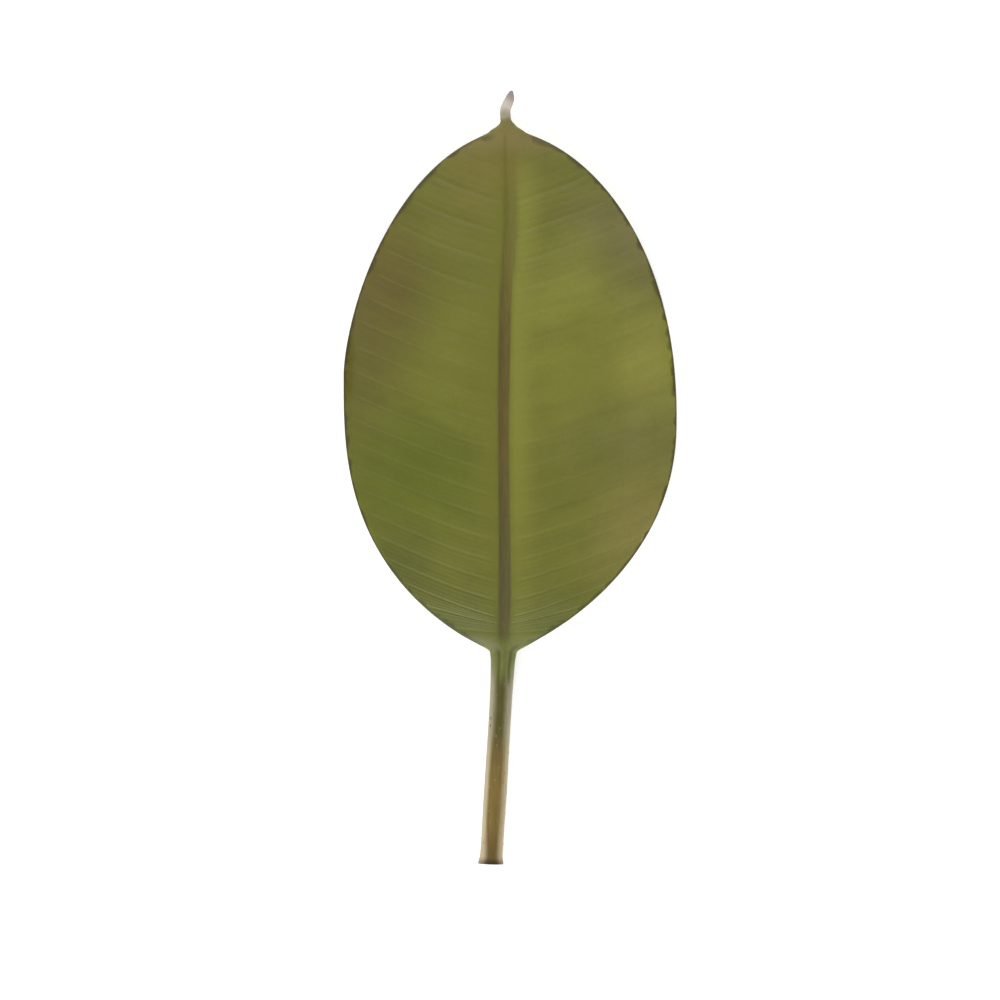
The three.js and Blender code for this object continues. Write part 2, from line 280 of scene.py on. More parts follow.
@dataclass(frozen=True)
class Blade:
    """The flat part: outline, section and the way it hangs and rests."""

    length: float = 170 * MM
    outline_length: float = 168.45 * MM
    thickness: float = 0.8 * MM
    axis_lean: float = 1.4 * MM
    axis_bow: float = 3.0 * MM
    gutter_rise: float = 1.9 * MM
    gutter_crest_at: float = 0.3
    droop_power: float = 2.3
    touch_at: float = 0.56
    touch_spread: float = 0.3
    touch_press: float = 1.75 * MM
    touch_softness: float = 0.5 * MM
    ripple_height: float = 0.7 * MM
    ripples: float = 2.6
    margin_roll: float = 0.7 * MM
    margin_roll_from: float = 0.93
    rim_radius: float = 0.36 * MM
    rim_share: float = 0.3
    vein_pairs: int = 21
    vein_tilt: float = 0.36
    vein_tilts_by: float = 0.15
    vein_curve: float = 1.25

    def share_of_width(self, half: HalfBlade, y: np.ndarray) -> np.ndarray:
        """The outline's half-width at y, as a share of its greatest.

        Args:
            half: the half of the blade.
            y: where along the blade.

        Returns:
            The share.
        """
        u = np.clip(y / self.outline_length, 0, 1)
        to_base = np.clip((half.widest_at - u) / half.widest_at, 0, 1)
        to_tip = np.clip((u - half.widest_at) / (1 - half.widest_at), 0, 1)
        base = (1 - to_base**half.base_power) ** half.base_fullness
        tip = (1 - to_tip**half.tip_power) ** half.tip_fullness
        return np.where(u < half.widest_at, base, tip)

    def axis_x(self, y: np.ndarray) -> np.ndarray:
        """The middle of the blade's outline at y.

        Args:
            y: where along the blade.

        Returns:
            Its place to the right.
        """
        u = y / self.length
        return self.axis_lean * u + self.axis_bow * np.sin(np.pi * u)

    def vein_root(self, half: HalfBlade, y: np.ndarray) -> np.ndarray:
        """Where a side vein leaves the midrib, if it meets the margin at y.

        Args:
            half: the half of the blade.
            y: where it meets the margin.

        Returns:
            Its root's place.
        """
        opening = smooth(y / self.length, 0, self.vein_tilts_by)
        return y - self.vein_tilt * opening * half.width * self.share_of_width(half, y)

    def gutter(self, g: np.ndarray) -> np.ndarray:
        """A gutter's height at share g of the way to the margin, as a share of its crest's.

        Args:
            g: the share.

        Returns:
            The height's share.
        """
        crest = g / self.gutter_crest_at
        return crest * np.exp(1 - crest)

    def hang(self, half: HalfBlade, g: np.ndarray, y: np.ndarray, rib: np.ndarray) -> np.ndarray:
        """Height of the lower face with no surface under it.

        Args:
            half: the half of the blade.
            g: the share of the way from midrib 0 to margin 1.
            y: where the section meets the margin.
            rib: the lower face's height at the midrib.

        Returns:
            The height, which may be below the surface.
        """
        share = self.share_of_width(half, y)
        u = y / self.length
        touch = np.exp(-(((u - self.touch_at) / self.touch_spread) ** 2))
        gutter = self.gutter_rise * share * (self.gutter(g) - self.gutter(np.array(1.0)) * g * g)
        drop = (rib - self.ripple_height + self.touch_press) * touch * np.sqrt(share)
        wave = np.sin(2 * np.pi * self.ripples * u + half.ripple_phase)
        ripple = self.ripple_height * share * wave * g * g
        turned = smooth(g, self.margin_roll_from, 1) ** 2
        roll = self.margin_roll * share * (1 - touch) * turned
        return rib + gutter - drop * g**self.droop_power + ripple - roll

    def rest(self, height: np.ndarray) -> np.ndarray:
        """The height at which the surface holds a margin that would hang at that height.

        Args:
            height: the hanging height.

        Returns:
            The held height.
        """
        soft = self.touch_softness
        held = (height + soft) ** 2 / (4 * soft)
        return np.where(height > soft, height, np.where(height < -soft, 0.0, held))


@dataclass(frozen=True)
class Stalk:
    """The round stalk, its two furrows and its cut end."""

    length: float = 68.5 * MM
    furrow_depth: float = 0.4 * MM
    furrow_half_angle: float = 0.22
    furrow_deepens: Span = (-24 * MM, -3 * MM)
    furrow_ends: Span = (0.0, 5 * MM)
    cut_hollow: float = 0.35 * MM
    pith_share: float = 0.65
    pith_reach: float = 0.3
    rim_power: int = 6
    cut_rings: tuple[float, ...] = (0.12, 0.3, 0.48, 0.64, 0.76, 0.85, 0.91, 0.955, 0.985)

    def furrow(self, half: HalfBlade, y: np.ndarray, angle: np.ndarray) -> np.ndarray:
        """How deep that half's furrow is at y, at that angle from the stalk's top.

        Args:
            half: the half of the stalk.
            y: where along it.
            angle: the angle.

        Returns:
            The depth.
        """
        fade = smooth(y, *self.furrow_deepens) * (1 - smooth(y, *self.furrow_ends))
        away = (angle - half.furrow_angle) / self.furrow_half_angle
        return self.furrow_depth * fade * np.exp(-(away**2))

    def dish(self, share: np.ndarray) -> np.ndarray:
        """How far the cut face lies inside its rim, at a share of the way out from its middle.

        Args:
            share: the share.

        Returns:
            The depth.
        """
        pith = np.exp(-((share / self.pith_reach) ** 2))
        rind = (1 - self.pith_share) * (1 - share**self.rim_power)
        return self.cut_hollow * (rind + self.pith_share * pith)


@dataclass
class LeafSkin:
    """The whole leaf as one closed skin, with the measures that its finishes follow."""

    spine: Spine = Spine()
    midrib: Midrib = Midrib()
    blade: Blade = Blade()
    stalk: Stalk = Stalk()
    drip_tip_length: float = 11.3 * MM
    base_blend: Span = (-2.4 * MM, 6.4 * MM)
    tip_blend: Span = (166 * MM, 171 * MM)
    join_sharpness: float = 3.9
    round_closing: float = 0.96
    rib_columns: int = 12
    blade_columns: int = 30
    crowding: float = 0.1
    rim_steps: int = 4
    per_vein: int = 18
    lip_steps: tuple[float, ...] = (0, 0.08, 0.22, 0.45, 0.75, 1.1, 1.5, 2.0, 2.6, 3.3, 4.2)
    stalk_from: float = 5.4 * MM
    stalk_step: float = 1.5 * MM
    join: Span = (-6 * MM, 8 * MM)
    join_step: float = 0.34 * MM
    tip_step: float = 0.28 * MM
    end_bulge: float = 0.2 * MM
    shift: np.ndarray = field(init=False, default_factory=lambda: np.zeros(3))

    @property
    def columns(self) -> int:
        """The number of columns from the midrib to one margin."""
        return self.rib_columns + self.blade_columns

    def stations(self) -> np.ndarray:
        """Where the sections meet the margin: close together wherever the form turns quickly.

        Returns:
            The places along the leaf.
        """
        stalk = -self.stalk.length
        blade = self.blade.length
        before, after = self.join
        step = blade / (self.blade.vein_pairs + 1) / self.per_vein
        return np.concatenate([
            stalk + np.array(self.lip_steps) * MM,
            np.arange(stalk + self.stalk_from, before, self.stalk_step),
            np.arange(before, after, self.join_step),
            np.arange(after, blade - after, step),
            np.arange(blade - after, blade + self.drip_tip_length, self.tip_step),
            [blade + self.drip_tip_length],
        ])

    def flatness(self, y: np.ndarray) -> np.ndarray:
        """How flat the section is: 0 in the stalk and drip tip, 1 in the blade."""
        return np.minimum(smooth(y, *self.base_blend), 1 - smooth(y, *self.tip_blend))

    def reach(self, half: HalfBlade, y: np.ndarray) -> np.ndarray:
        """How far that half reaches out from the spine, at the section that ends at y.

        Args:
            half: the half.
            y: the stations.

        Returns:
            The reach.
        """
        grown = half.width * self.blade.share_of_width(half, y)
        sharp = self.join_sharpness
        half_width = (grown**sharp + self.spine.girth.at(y) ** sharp) ** (1 / sharp)
        root = self.blade.vein_root(half, y)
        axis = self.blade.axis_x(np.clip(y, 0, self.blade.length))
        return half_width + half.side * (axis - self.spine.x(root)) * self.flatness(y)

    def offsets(self, half: HalfBlade, y: np.ndarray) -> np.ndarray:
        """How far out each column stands, one row for each station.

        Args:
            half: the half.
            y: the stations.

        Returns:
            The distances from the spine.
        """
        flat = self.flatness(y)
        reach = self.reach(half, y)
        edge = self.midrib.keel_edge(self.blade.vein_root(half, y), reach)
        rim = np.minimum(self.blade.rim_radius, self.blade.rim_share * (reach - edge)) * flat
        t = np.arange(1, self.blade_columns + 1) / self.blade_columns
        shares = t - self.crowding * np.sin(2 * np.pi * t)
        on_rib = edge * np.arange(self.rib_columns + 1) / self.rib_columns
        on_blade = edge + (reach - rim - edge) * shares
        flat_out = np.concatenate([on_rib, on_blade], axis=1)
        turned = np.pi / 2 * np.arange(self.columns + 1) / self.columns
        return between(reach * np.sin(turned), flat_out, flat)

    def round_point(
        self, half: HalfBlade, y: np.ndarray, offset: np.ndarray, lower: bool
    ) -> np.ndarray:
        """Points of the round section of the stalk or the drip tip.

        Args:
            half: the half that they are in.
            y: their stations.
            offset: how far out they are.
            lower: whether they are on the lower side.

        Returns:
            The points, with x, y and z last.
        """
        upright = self.spine.girth.at(y, 2)
        reach = self.reach(half, y)
        angle = np.arcsin(np.minimum(offset / reach, 1)) * self.round_closing
        furrow = 0.0 if lower else self.stalk.furrow(half, y, angle)
        turn = self.spine.turn(y)
        x = (reach - furrow) * np.sin(angle) * half.side
        z = (upright - furrow) * np.cos(angle) * (-1 if lower else 1)
        return np.stack([
            self.spine.x(y) + x * np.cos(turn),
            y - x * np.sin(turn),
            self.spine.height(y) - upright + z,
        ], axis=-1)

    def blade_point(
        self, half: HalfBlade, y: np.ndarray, offset: np.ndarray, lower: bool
    ) -> np.ndarray:
        """Points of the blade's section, which slants towards the tip along a side vein.

        Args:
            half: the half that they are in.
            y: their stations.
            offset: how far out they are.
            lower: whether they are on the lower face.

        Returns:
            The points, with x, y and z last.
        """
        root = self.blade.vein_root(half, y)
        reach = self.reach(half, y)
        g = np.clip(offset / reach, 0, 1)
        point_y = root + (y - root) * g**self.blade.vein_curve
        rib_height = self.spine.height(point_y) - self.blade.thickness
        under = self.blade.rest(self.blade.hang(half, g, y, rib_height))
        across = np.minimum(offset / self.midrib.keel_edge(root, reach), 1)
        if lower:
            z = np.maximum(under - self.midrib.keel(root, across), 0)
        else:
            z = under + self.blade.thickness - self.midrib.channel(root, across)
        x = self.spine.x(root) + half.side * offset
        return np.stack([x, point_y, z], axis=-1)

    def face(self, half: HalfBlade, y: np.ndarray, lower: bool) -> np.ndarray:
        """One face of one half: a row of points for each station, from the midrib outwards.

        Args:
            half: the half.
            y: the stations.
            lower: whether it is the lower face.

        Returns:
            The points.
        """
        offset = self.offsets(half, y)
        flat = self.flatness(y)[..., None]
        made_round = self.round_point(half, y, offset, lower)
        made_flat = self.blade_point(half, y, offset, lower)
        points = between(made_round, made_flat, flat)
        points[..., 2] = np.maximum(points[..., 2], 0)
        return points

    def rim(self, half: HalfBlade, y: np.ndarray) -> np.ndarray:
        """The rounded margin of one half, from its upper face down to its lower one.

        Args:
            half: the half.
            y: the stations.

        Returns:
            The points.
        """
        upper = self.face(half, y, False)[:, -1:, :]
        lower = self.face(half, y, True)[:, -1:, :]
        reach = self.reach(half, y)
        bulge = reach - self.offsets(half, y)[:, -1:]
        turned = np.pi * np.arange(1, self.rim_steps) / self.rim_steps
        points = between(upper, lower, ((1 - np.cos(turned)) / 2)[None, :, None])
        points[..., 0] += half.side * bulge * np.sin(turned)
        return points

    def rings(self) -> np.ndarray:
        """Every section as a closed ring, from the left over the top and back underneath.

        Returns:
            The points, a row for each station.
        """
        y = self.stations()[:, None]
        left_top = self.face(LEFT_HALF, y, False)[:, ::-1]
        right_top = self.face(RIGHT_HALF, y, False)[:, 1:]
        right_low = self.face(RIGHT_HALF, y, True)[:, ::-1]
        left_low = self.face(LEFT_HALF, y, True)[:, 1:]
        right_rim = self.rim(RIGHT_HALF, y)
        left_rim = self.rim(LEFT_HALF, y)[:, ::-1]
        pieces = [left_top, right_top, right_rim, right_low, left_low, left_rim]
        return np.concatenate(pieces, axis=1)

    def around_ring(
        self, top_left: np.ndarray, top_right: np.ndarray, right_rim: np.ndarray,
        low_right: np.ndarray, low_left: np.ndarray, left_rim: np.ndarray,
    ) -> np.ndarray:
        """Puts one measure's pieces in the order of a ring's points, as rings() does.

        Args:
            top_left: the upper left face's values, from the midrib outwards.
            top_right: the upper right face's.
            right_rim: the right margin's, from top to bottom.
            low_right: the lower right face's.
            low_left: the lower left face's.
            left_rim: the left margin's, from top to bottom.

        Returns:
            One row for each station.
        """
        return np.concatenate([
            top_left[:, ::-1], top_right[:, 1:], right_rim, low_right[:, ::-1], low_left[:, 1:],
            left_rim[:, ::-1],
        ], axis=1)

    def measures(self) -> dict[str, np.ndarray]:
        """What the finishes follow over the skin.

        Returns:
            For each measure a row for each station, in the order of the rings' points.
        """
        y = self.stations()[:, None]
        spacing = self.blade.length / (self.blade.vein_pairs + 1)
        rim_count = self.rim_steps - 1
        level = (1 + np.cos(np.pi * np.arange(1, self.rim_steps) / self.rim_steps)) / 2
        out = {half.side: self.offsets(half, y) for half in (LEFT_HALF, RIGHT_HALF)}
        gap = {half.side: self.reach(half, y) - out[half.side] for half in (LEFT_HALF, RIGHT_HALF)}
        no_rim = np.zeros((len(y), rim_count))

        def mirrored(
            left: np.ndarray, right: np.ndarray, left_edge: np.ndarray, right_edge: np.ndarray
        ) -> np.ndarray:
            """The same values on both faces."""
            return self.around_ring(left, right, right_edge, right, left, left_edge)

        share = {side: out[side] / (out[side] + gap[side]) for side in out}
        ones = np.ones_like(out[1])
        whole = no_rim + 1
        return {
            "rib_offset": mirrored(
                -out[-1], out[1], no_rim - out[-1][:, -1:], no_rim + out[1][:, -1:]
            ),
            "margin_gap": mirrored(gap[-1], gap[1], no_rim, no_rim),
            "share": mirrored(share[-1], share[1], whole, whole),
            "vein": mirrored(ones * y, ones * y, whole * y, whole * y) / spacing,
            "upper": self.around_ring(
                ones, ones, whole * level, ones * 0, ones * 0, whole * level
            ),
            "flat": mirrored(*[part * self.flatness(y) for part in (ones, ones, whole, whole)]),
        }

    def zones(self, rings: int, around: int) -> np.ndarray:
        """The finish of each quad between two stations.

        Args:
            rings: how many stations there are.
            around: how many points a ring has.

        Returns:
            A zone for each quad, a row for each gap.
        """
        y = self.stations()
        middle = (y[1:] + y[:-1]) / 2
        flat = self.flatness(middle)[:, None]
        column = np.arange(around)[None, :]
        top = 2 * self.columns + 1 + self.rim_steps // 2
        over = (column < top) | (column >= around - self.rim_steps // 2)
        found = np.where(over, Zone.UPPER, Zone.UNDER) + np.zeros((rings - 1, 1), int)
        closed = flat < 0.5
        found = np.where(closed & (middle[:, None] < MID_LEAF), Zone.STALK, found)
        return np.where(closed & (middle[:, None] > MID_LEAF), Zone.TIP, found)

    def cut_middle(self) -> np.ndarray:
        """The middle of the stalk's cut end, before the leaf is moved into the frame.

        Returns:
            The point.
        """
        y = np.array(-self.stalk.length)
        return np.array([self.spine.x(y), y, self.spine.height(y) - self.spine.girth.at(y, 2)])

    def mesh(self) -> bpy.types.Mesh:
        """Builds the closed skin, moved into the frame, with its measures as attributes.

        Returns:
            The mesh. The shift into the frame is kept in the skin.
        """
        rings = self.rings()
        measures = self.measures()
        zones = self.zones(*rings.shape[:2])
        around = rings.shape[1]

        first = rings[0]
        centre = self.cut_middle()
        cut = []
        for share in self.stalk.cut_rings:
            ring = between(centre, first, share)
            ring[:, 1] += self.stalk.dish(np.array(share))
            cut.append(ring)
        rings = np.concatenate([np.array(cut), rings])
        extra = len(cut)
        hub = centre + np.array([0, self.stalk.dish(np.array(0.0)), 0])
        end = rings[-1].mean(axis=0) + np.array([0, self.end_bulge, 0])

        points = np.concatenate([rings.reshape(-1, 3), [hub], [end]])
        low, high = points.min(axis=0), points.max(axis=0)
        self.shift = np.array([(low[0] + high[0]) / 2, (low[1] + high[1]) / 2, low[2]])

        row = np.arange(len(rings) - 1)[:, None] * around
        here = np.arange(around)[None, :]
        following = (here + 1) % around
        quads = np.stack([
            row + here, row + following, row + around + following, row + around + here
        ], axis=-1).reshape(-1, 4)
        near = np.arange(around)
        ahead = (near + 1) % around
        count = len(rings) * around
        last = (len(rings) - 1) * around
        caps = np.concatenate([
            np.stack([np.full(around, count), ahead, near], axis=-1),
            np.stack([np.full(around, count + 1), last + near, last + ahead], axis=-1),
        ])
        made = bpy.data.meshes.new("leaf_skin")
        made.from_pydata((points - self.shift).tolist(), [], quads.tolist() + caps.tolist())

        for name, values in measures.items():
            padded = np.concatenate([np.repeat(values[:1], extra, axis=0), values])
            flatten = np.concatenate([padded.ravel(), [values[0, 0]], [values[-1, 0]]])
            self._store(made, name, "FLOAT", "POINT", flatten)
        self._store(made, "along", "FLOAT", "POINT", points[:, 1])
        faces = np.concatenate([
            np.full(extra * around, Zone.CUT),
            zones.ravel(),
            np.full(around, Zone.CUT),
            np.full(around, Zone.TIP),
        ])
        self._store(made, "zone", "INT", "FACE", faces)
        made.shade_smooth()
        return made

    def _store(
        self, mesh: bpy.types.Mesh, name: str, kind: str, domain: str, values: np.ndarray
    ) -> None:
        """Writes one attribute of that kind and domain on a mesh.

        Args:
            mesh: the mesh.
            name: the attribute's name.
            kind: its data type.
            domain: what it belongs to.
            values: its values.
        """
        layer = mesh.attributes.new(name, kind, domain)
        number = np.float32 if kind == "FLOAT" else np.int32
        layer.data.foreach_set("value", np.ascontiguousarray(values, dtype=number))


class Bench:
    """Adds nodes to one tree and joins them, for shaders and for geometry alike."""

    def __init__(self, tree: bpy.types.NodeTree) -> None:
        """Takes the tree to work on."""
        self.tree = tree

    def feed(self, socket: Socket, value: object) -> None:
        """Links a socket to an input, or sets it to a constant.

        Args:
            socket: the input.
            value: a socket, a constant, or None to leave it.
        """
        if isinstance(value, Socket):
            self.tree.links.new(value, socket)
        elif value is not None:
            socket.default_value = value

    def node(self, kind: str, inputs: dict | None = None, **settings: object) -> bpy.types.Node:
        """Adds a node.

        Args:
            kind: its type's name.
            inputs: what its inputs get, by name or index.
            settings: its own properties.

        Returns:
            The node.
        """
        made = self.tree.nodes.new(kind)
        for name, value in settings.items():
            setattr(made, name, value)
        for key, value in (inputs or {}).items():
            self.feed(made.inputs[key], value)
        return made

    def math(self, operation: str, a: object, b: object = None, c: object = None) -> Socket:
        """One sum on numbers, and its result."""
        made = self.node("ShaderNodeMath", dict(enumerate((a, b, c))), operation=operation)
        return made.outputs[0]

    def times(self, *values: object) -> Socket:
        """Multiplies numbers, from the first to the last.

        Args:
            values: the numbers.

        Returns:
            Their product.
        """
        product = values[0]
        for value in values[1:]:
            product = self.math("MULTIPLY", product, value)
        return product

    def vector(self, operation: str, a: object, b: object = None) -> Socket:
        """One sum on vectors, and its vector result."""
        made = self.node("ShaderNodeVectorMath", dict(enumerate((a, b))), operation=operation)
        return made.outputs[0]

    def length(self, a: object) -> Socket:
        """A vector's length."""
        return self.node("ShaderNodeVectorMath", {0: a}, operation="LENGTH").outputs[1]

    def ease(
        self, value: object, low: object, high: object, start: object = 0.0, end: object = 1.0
    ) -> Socket:
        """Eases a number from start at low to end at high.

        Args:
            value: the number.
            low: where it starts.
            high: where it ends.
            start: the result at low.
            end: the result at high.

        Returns:
            The eased number.
        """
        inputs = {"Value": value, "From Min": low, "From Max": high, "To Min": start, "To Max": end}
        made = self.node("ShaderNodeMapRange", inputs, interpolation_type="SMOOTHSTEP")
        return made.outputs[0]

    def mix(self, factor: object, a: object, b: object) -> Socket:
        """One colour laid over another.

        Args:
            factor: how far it covers.
            a: the colour below.
            b: the colour above.

        Returns:
            The colour.
        """
        inputs = {0: factor, 6: a, 7: b}
        made = self.node("ShaderNodeMix", inputs, data_type="RGBA")
        return made.outputs[2]

    def dim(self, colour: object, value: object) -> Socket:
        """A colour times a number.

        Args:
            colour: the colour.
            value: the number.

        Returns:
            The new colour.
        """
        parts = colour[:3] if isinstance(colour, tuple) else colour
        made = self.node("ShaderNodeVectorMath", {0: parts, "Scale": value}, operation="SCALE")
        return made.outputs[0]

    def noise(
        self, vector: object, scale: object, detail: float = 3.0, rough: float = 0.5
    ) -> Socket:
        """Soft noise from 0 to 1."""
        inputs = {"Vector": vector, "Scale": scale, "Detail": detail, "Roughness": rough}
        return self.node("ShaderNodeTexNoise", inputs).outputs[0]

    def window(self, value: object, low: float, peak: float, high: float) -> Socket:
        """Rises from low to peak and falls again to high.

        Args:
            value: the number.
            low: where the rise starts.
            peak: where it is 1.
            high: where it is 0 again.

        Returns:
            The share, from 0 to 1.
        """
        rise = self.ease(value, low, peak)
        fall = self.ease(value, peak, high, 1.0, 0.0)
        return self.times(rise, fall)


class ShaderBench(Bench):
    """A bench for materials."""

    def measure(self, name: str) -> Socket:
        """A number that the skin carries at each point."""
        return self.node("ShaderNodeAttribute", attribute_name=name).outputs["Fac"]

    def place(self) -> Socket:
        """The point's own place, in metres."""
        return self.node("ShaderNodeTexCoord").outputs["Object"]

    def stretched(self, scale: Triple) -> Socket:
        """The point's place, drawn out by a scale along each axis."""
        return self.node("ShaderNodeMapping", {"Vector": self.place(), "Scale": scale}).outputs[0]

    def signed_share(self) -> Socket:
        """The place across a section, from -1 at the left to 1 at the right."""
        return self.times(self.measure("share"), self.math("SIGN", self.measure("rib_offset")))

    def tone(
        self, effects: "SharedEffects", scale: float, depth: float, stretch: Triple = EVEN
    ) -> Socket:
        """An uneven tone, near 1."""
        return self.group(effects.mottle, Scale=scale, Stretch=stretch, Depth=depth).outputs["Tone"]

    def relief(
        self, surface: bpy.types.Node, height: Socket, strength: float, distance: float
    ) -> None:
        """Gives a surface a fine relief.

        Args:
            surface: its shader.
            height: the relief's height.
            strength: how far it shows.
            distance: how deep it is.
        """
        inputs = {"Strength": strength, "Distance": distance, "Height": height}
        self.feed(surface.inputs["Normal"], self.node("ShaderNodeBump", inputs).outputs["Normal"])

    def group(self, tree: bpy.types.NodeTree, **inputs: object) -> bpy.types.Node:
        """Puts a node group in the material.

        Args:
            tree: the group.
            inputs: its inputs by name, with _ for a space.

        Returns:
            The group's node.
        """
        made = self.node("ShaderNodeGroup", node_tree=tree)
        for name, value in inputs.items():
            self.feed(made.inputs[name.replace("_", " ")], value)
        return made


def new_group(name: str, inputs: dict[str, str], outputs: dict[str, str]) -> tuple[
    bpy.types.NodeTree, ShaderBench, bpy.types.bpy_prop_collection, bpy.types.Node
]:
    """Starts a shader node group.

    Args:
        name: the group's name.
        inputs: the socket type of each input.
        outputs: the socket type of each output.

    Returns:
        The group, a bench for it, its input sockets by name and its output node.
    """
    tree = bpy.data.node_groups.new(name, "ShaderNodeTree")
    for side, sockets in (("INPUT", inputs), ("OUTPUT", outputs)):
        for label, kind in sockets.items():
            tree.interface.new_socket(name=label, in_out=side, socket_type=kind)
    bench = ShaderBench(tree)
    taken = bench.node("NodeGroupInput")
    given = bench.node("NodeGroupOutput")
    return tree, bench, taken.outputs, given


FLOAT = "NodeSocketFloat"
VECTOR = "NodeSocketVector"
COLOUR = "NodeSocketColor"


@dataclass(frozen=True)
class StalkColours:
    """The stalk's colours, from the blade down to the cut end, by place along the leaf, with painted
    sheen on its pale flanks and painted shade in its furrows.
    """

    top: Colour = paint(110, 114, 56)
    olive: Colour = paint(86, 82, 38)
    brown: Colour = paint(124, 103, 50)
    low: Colour = paint(101, 81, 34)
    singed: Colour = paint(58, 45, 18)
    # Furrow: painted shade in the two furrows along the stalk's top.
    furrow: Colour = paint(82, 85, 38)
    # Pale flanks: painted sheen, the pale surroundings reflected along the stalk's sides, paler where
    # the stalk dries.
    flank_sheen: Colour = paint(164, 158, 128)
    flank_sheen_low: Colour = paint(188, 172, 138)
    torn_scale: float = 160.0
    torn_reach: float = 7 * MM
    olive_by: Span = (-13 * MM, -4 * MM)
    brown_by: Span = (-40 * MM, -20 * MM)
    low_by: Span = (-67 * MM, -53 * MM)
    flank_sheen_edge_dries: Span = (0.3, 1.0)
    flank_sheen_edge_left: Span = (-1.0, -0.84)
    flank_sheen_edge_right: float = 1.0
    flank_sheen_left: Span = (-0.2, -0.5)
    flank_sheen_right: Span = (0.1, 0.34)
    flank_sheen_by: Span = (-14 * MM, 0.0)
    flank_sheen_widens: Span = (0.32, 0.08)
    flank_sheen_unsinged: float = 0.5
    furrow_shade_spread: float = 0.24
    furrow_shade_left_by: Span = (-17 * MM, -8 * MM)
    furrow_shade_right_by: Span = (-11 * MM, -6 * MM)
    furrow_shade_ends: Span = (0.0, 5 * MM)
    furrow_shade_strength: float = 0.9
    streak_stretch: Triple = (1.0, 0.05, 1.0)
    streak_scale: float = 1500.0
    streak_tones: Span = (0.88, 1.12)
    singed_torn: float = 1.0 * MM
    singed_by: Span = (0.4 * MM, 2.4 * MM)


@dataclass(frozen=True)
class TipColours:
    """The drip tip's colours, from the living blade to the withered end."""

    straw: Colour = paint(130, 119, 66)
    grey: Colour = paint(168, 158, 134)
    pale: Colour = paint(210, 201, 188)
    end: Colour = paint(158, 146, 140)
    straw_by: Span = (158 * MM, 166.4 * MM)
    grey_by: Span = (171.3 * MM, 173.6 * MM)
    pale_by: Span = (173.8 * MM, 176.6 * MM)
    end_by: Span = (176.4 * MM, 180.8 * MM)
    end_leans: float = 0.9 * MM
    ragged_scale: float = 520.0
    ragged: float = 2.2 * MM
    streak_stretch: Triple = (1.0, 0.2, 1.0)
    streak_scale: float = 2600.0
    streak_tones: Span = (1.0, 1.06)


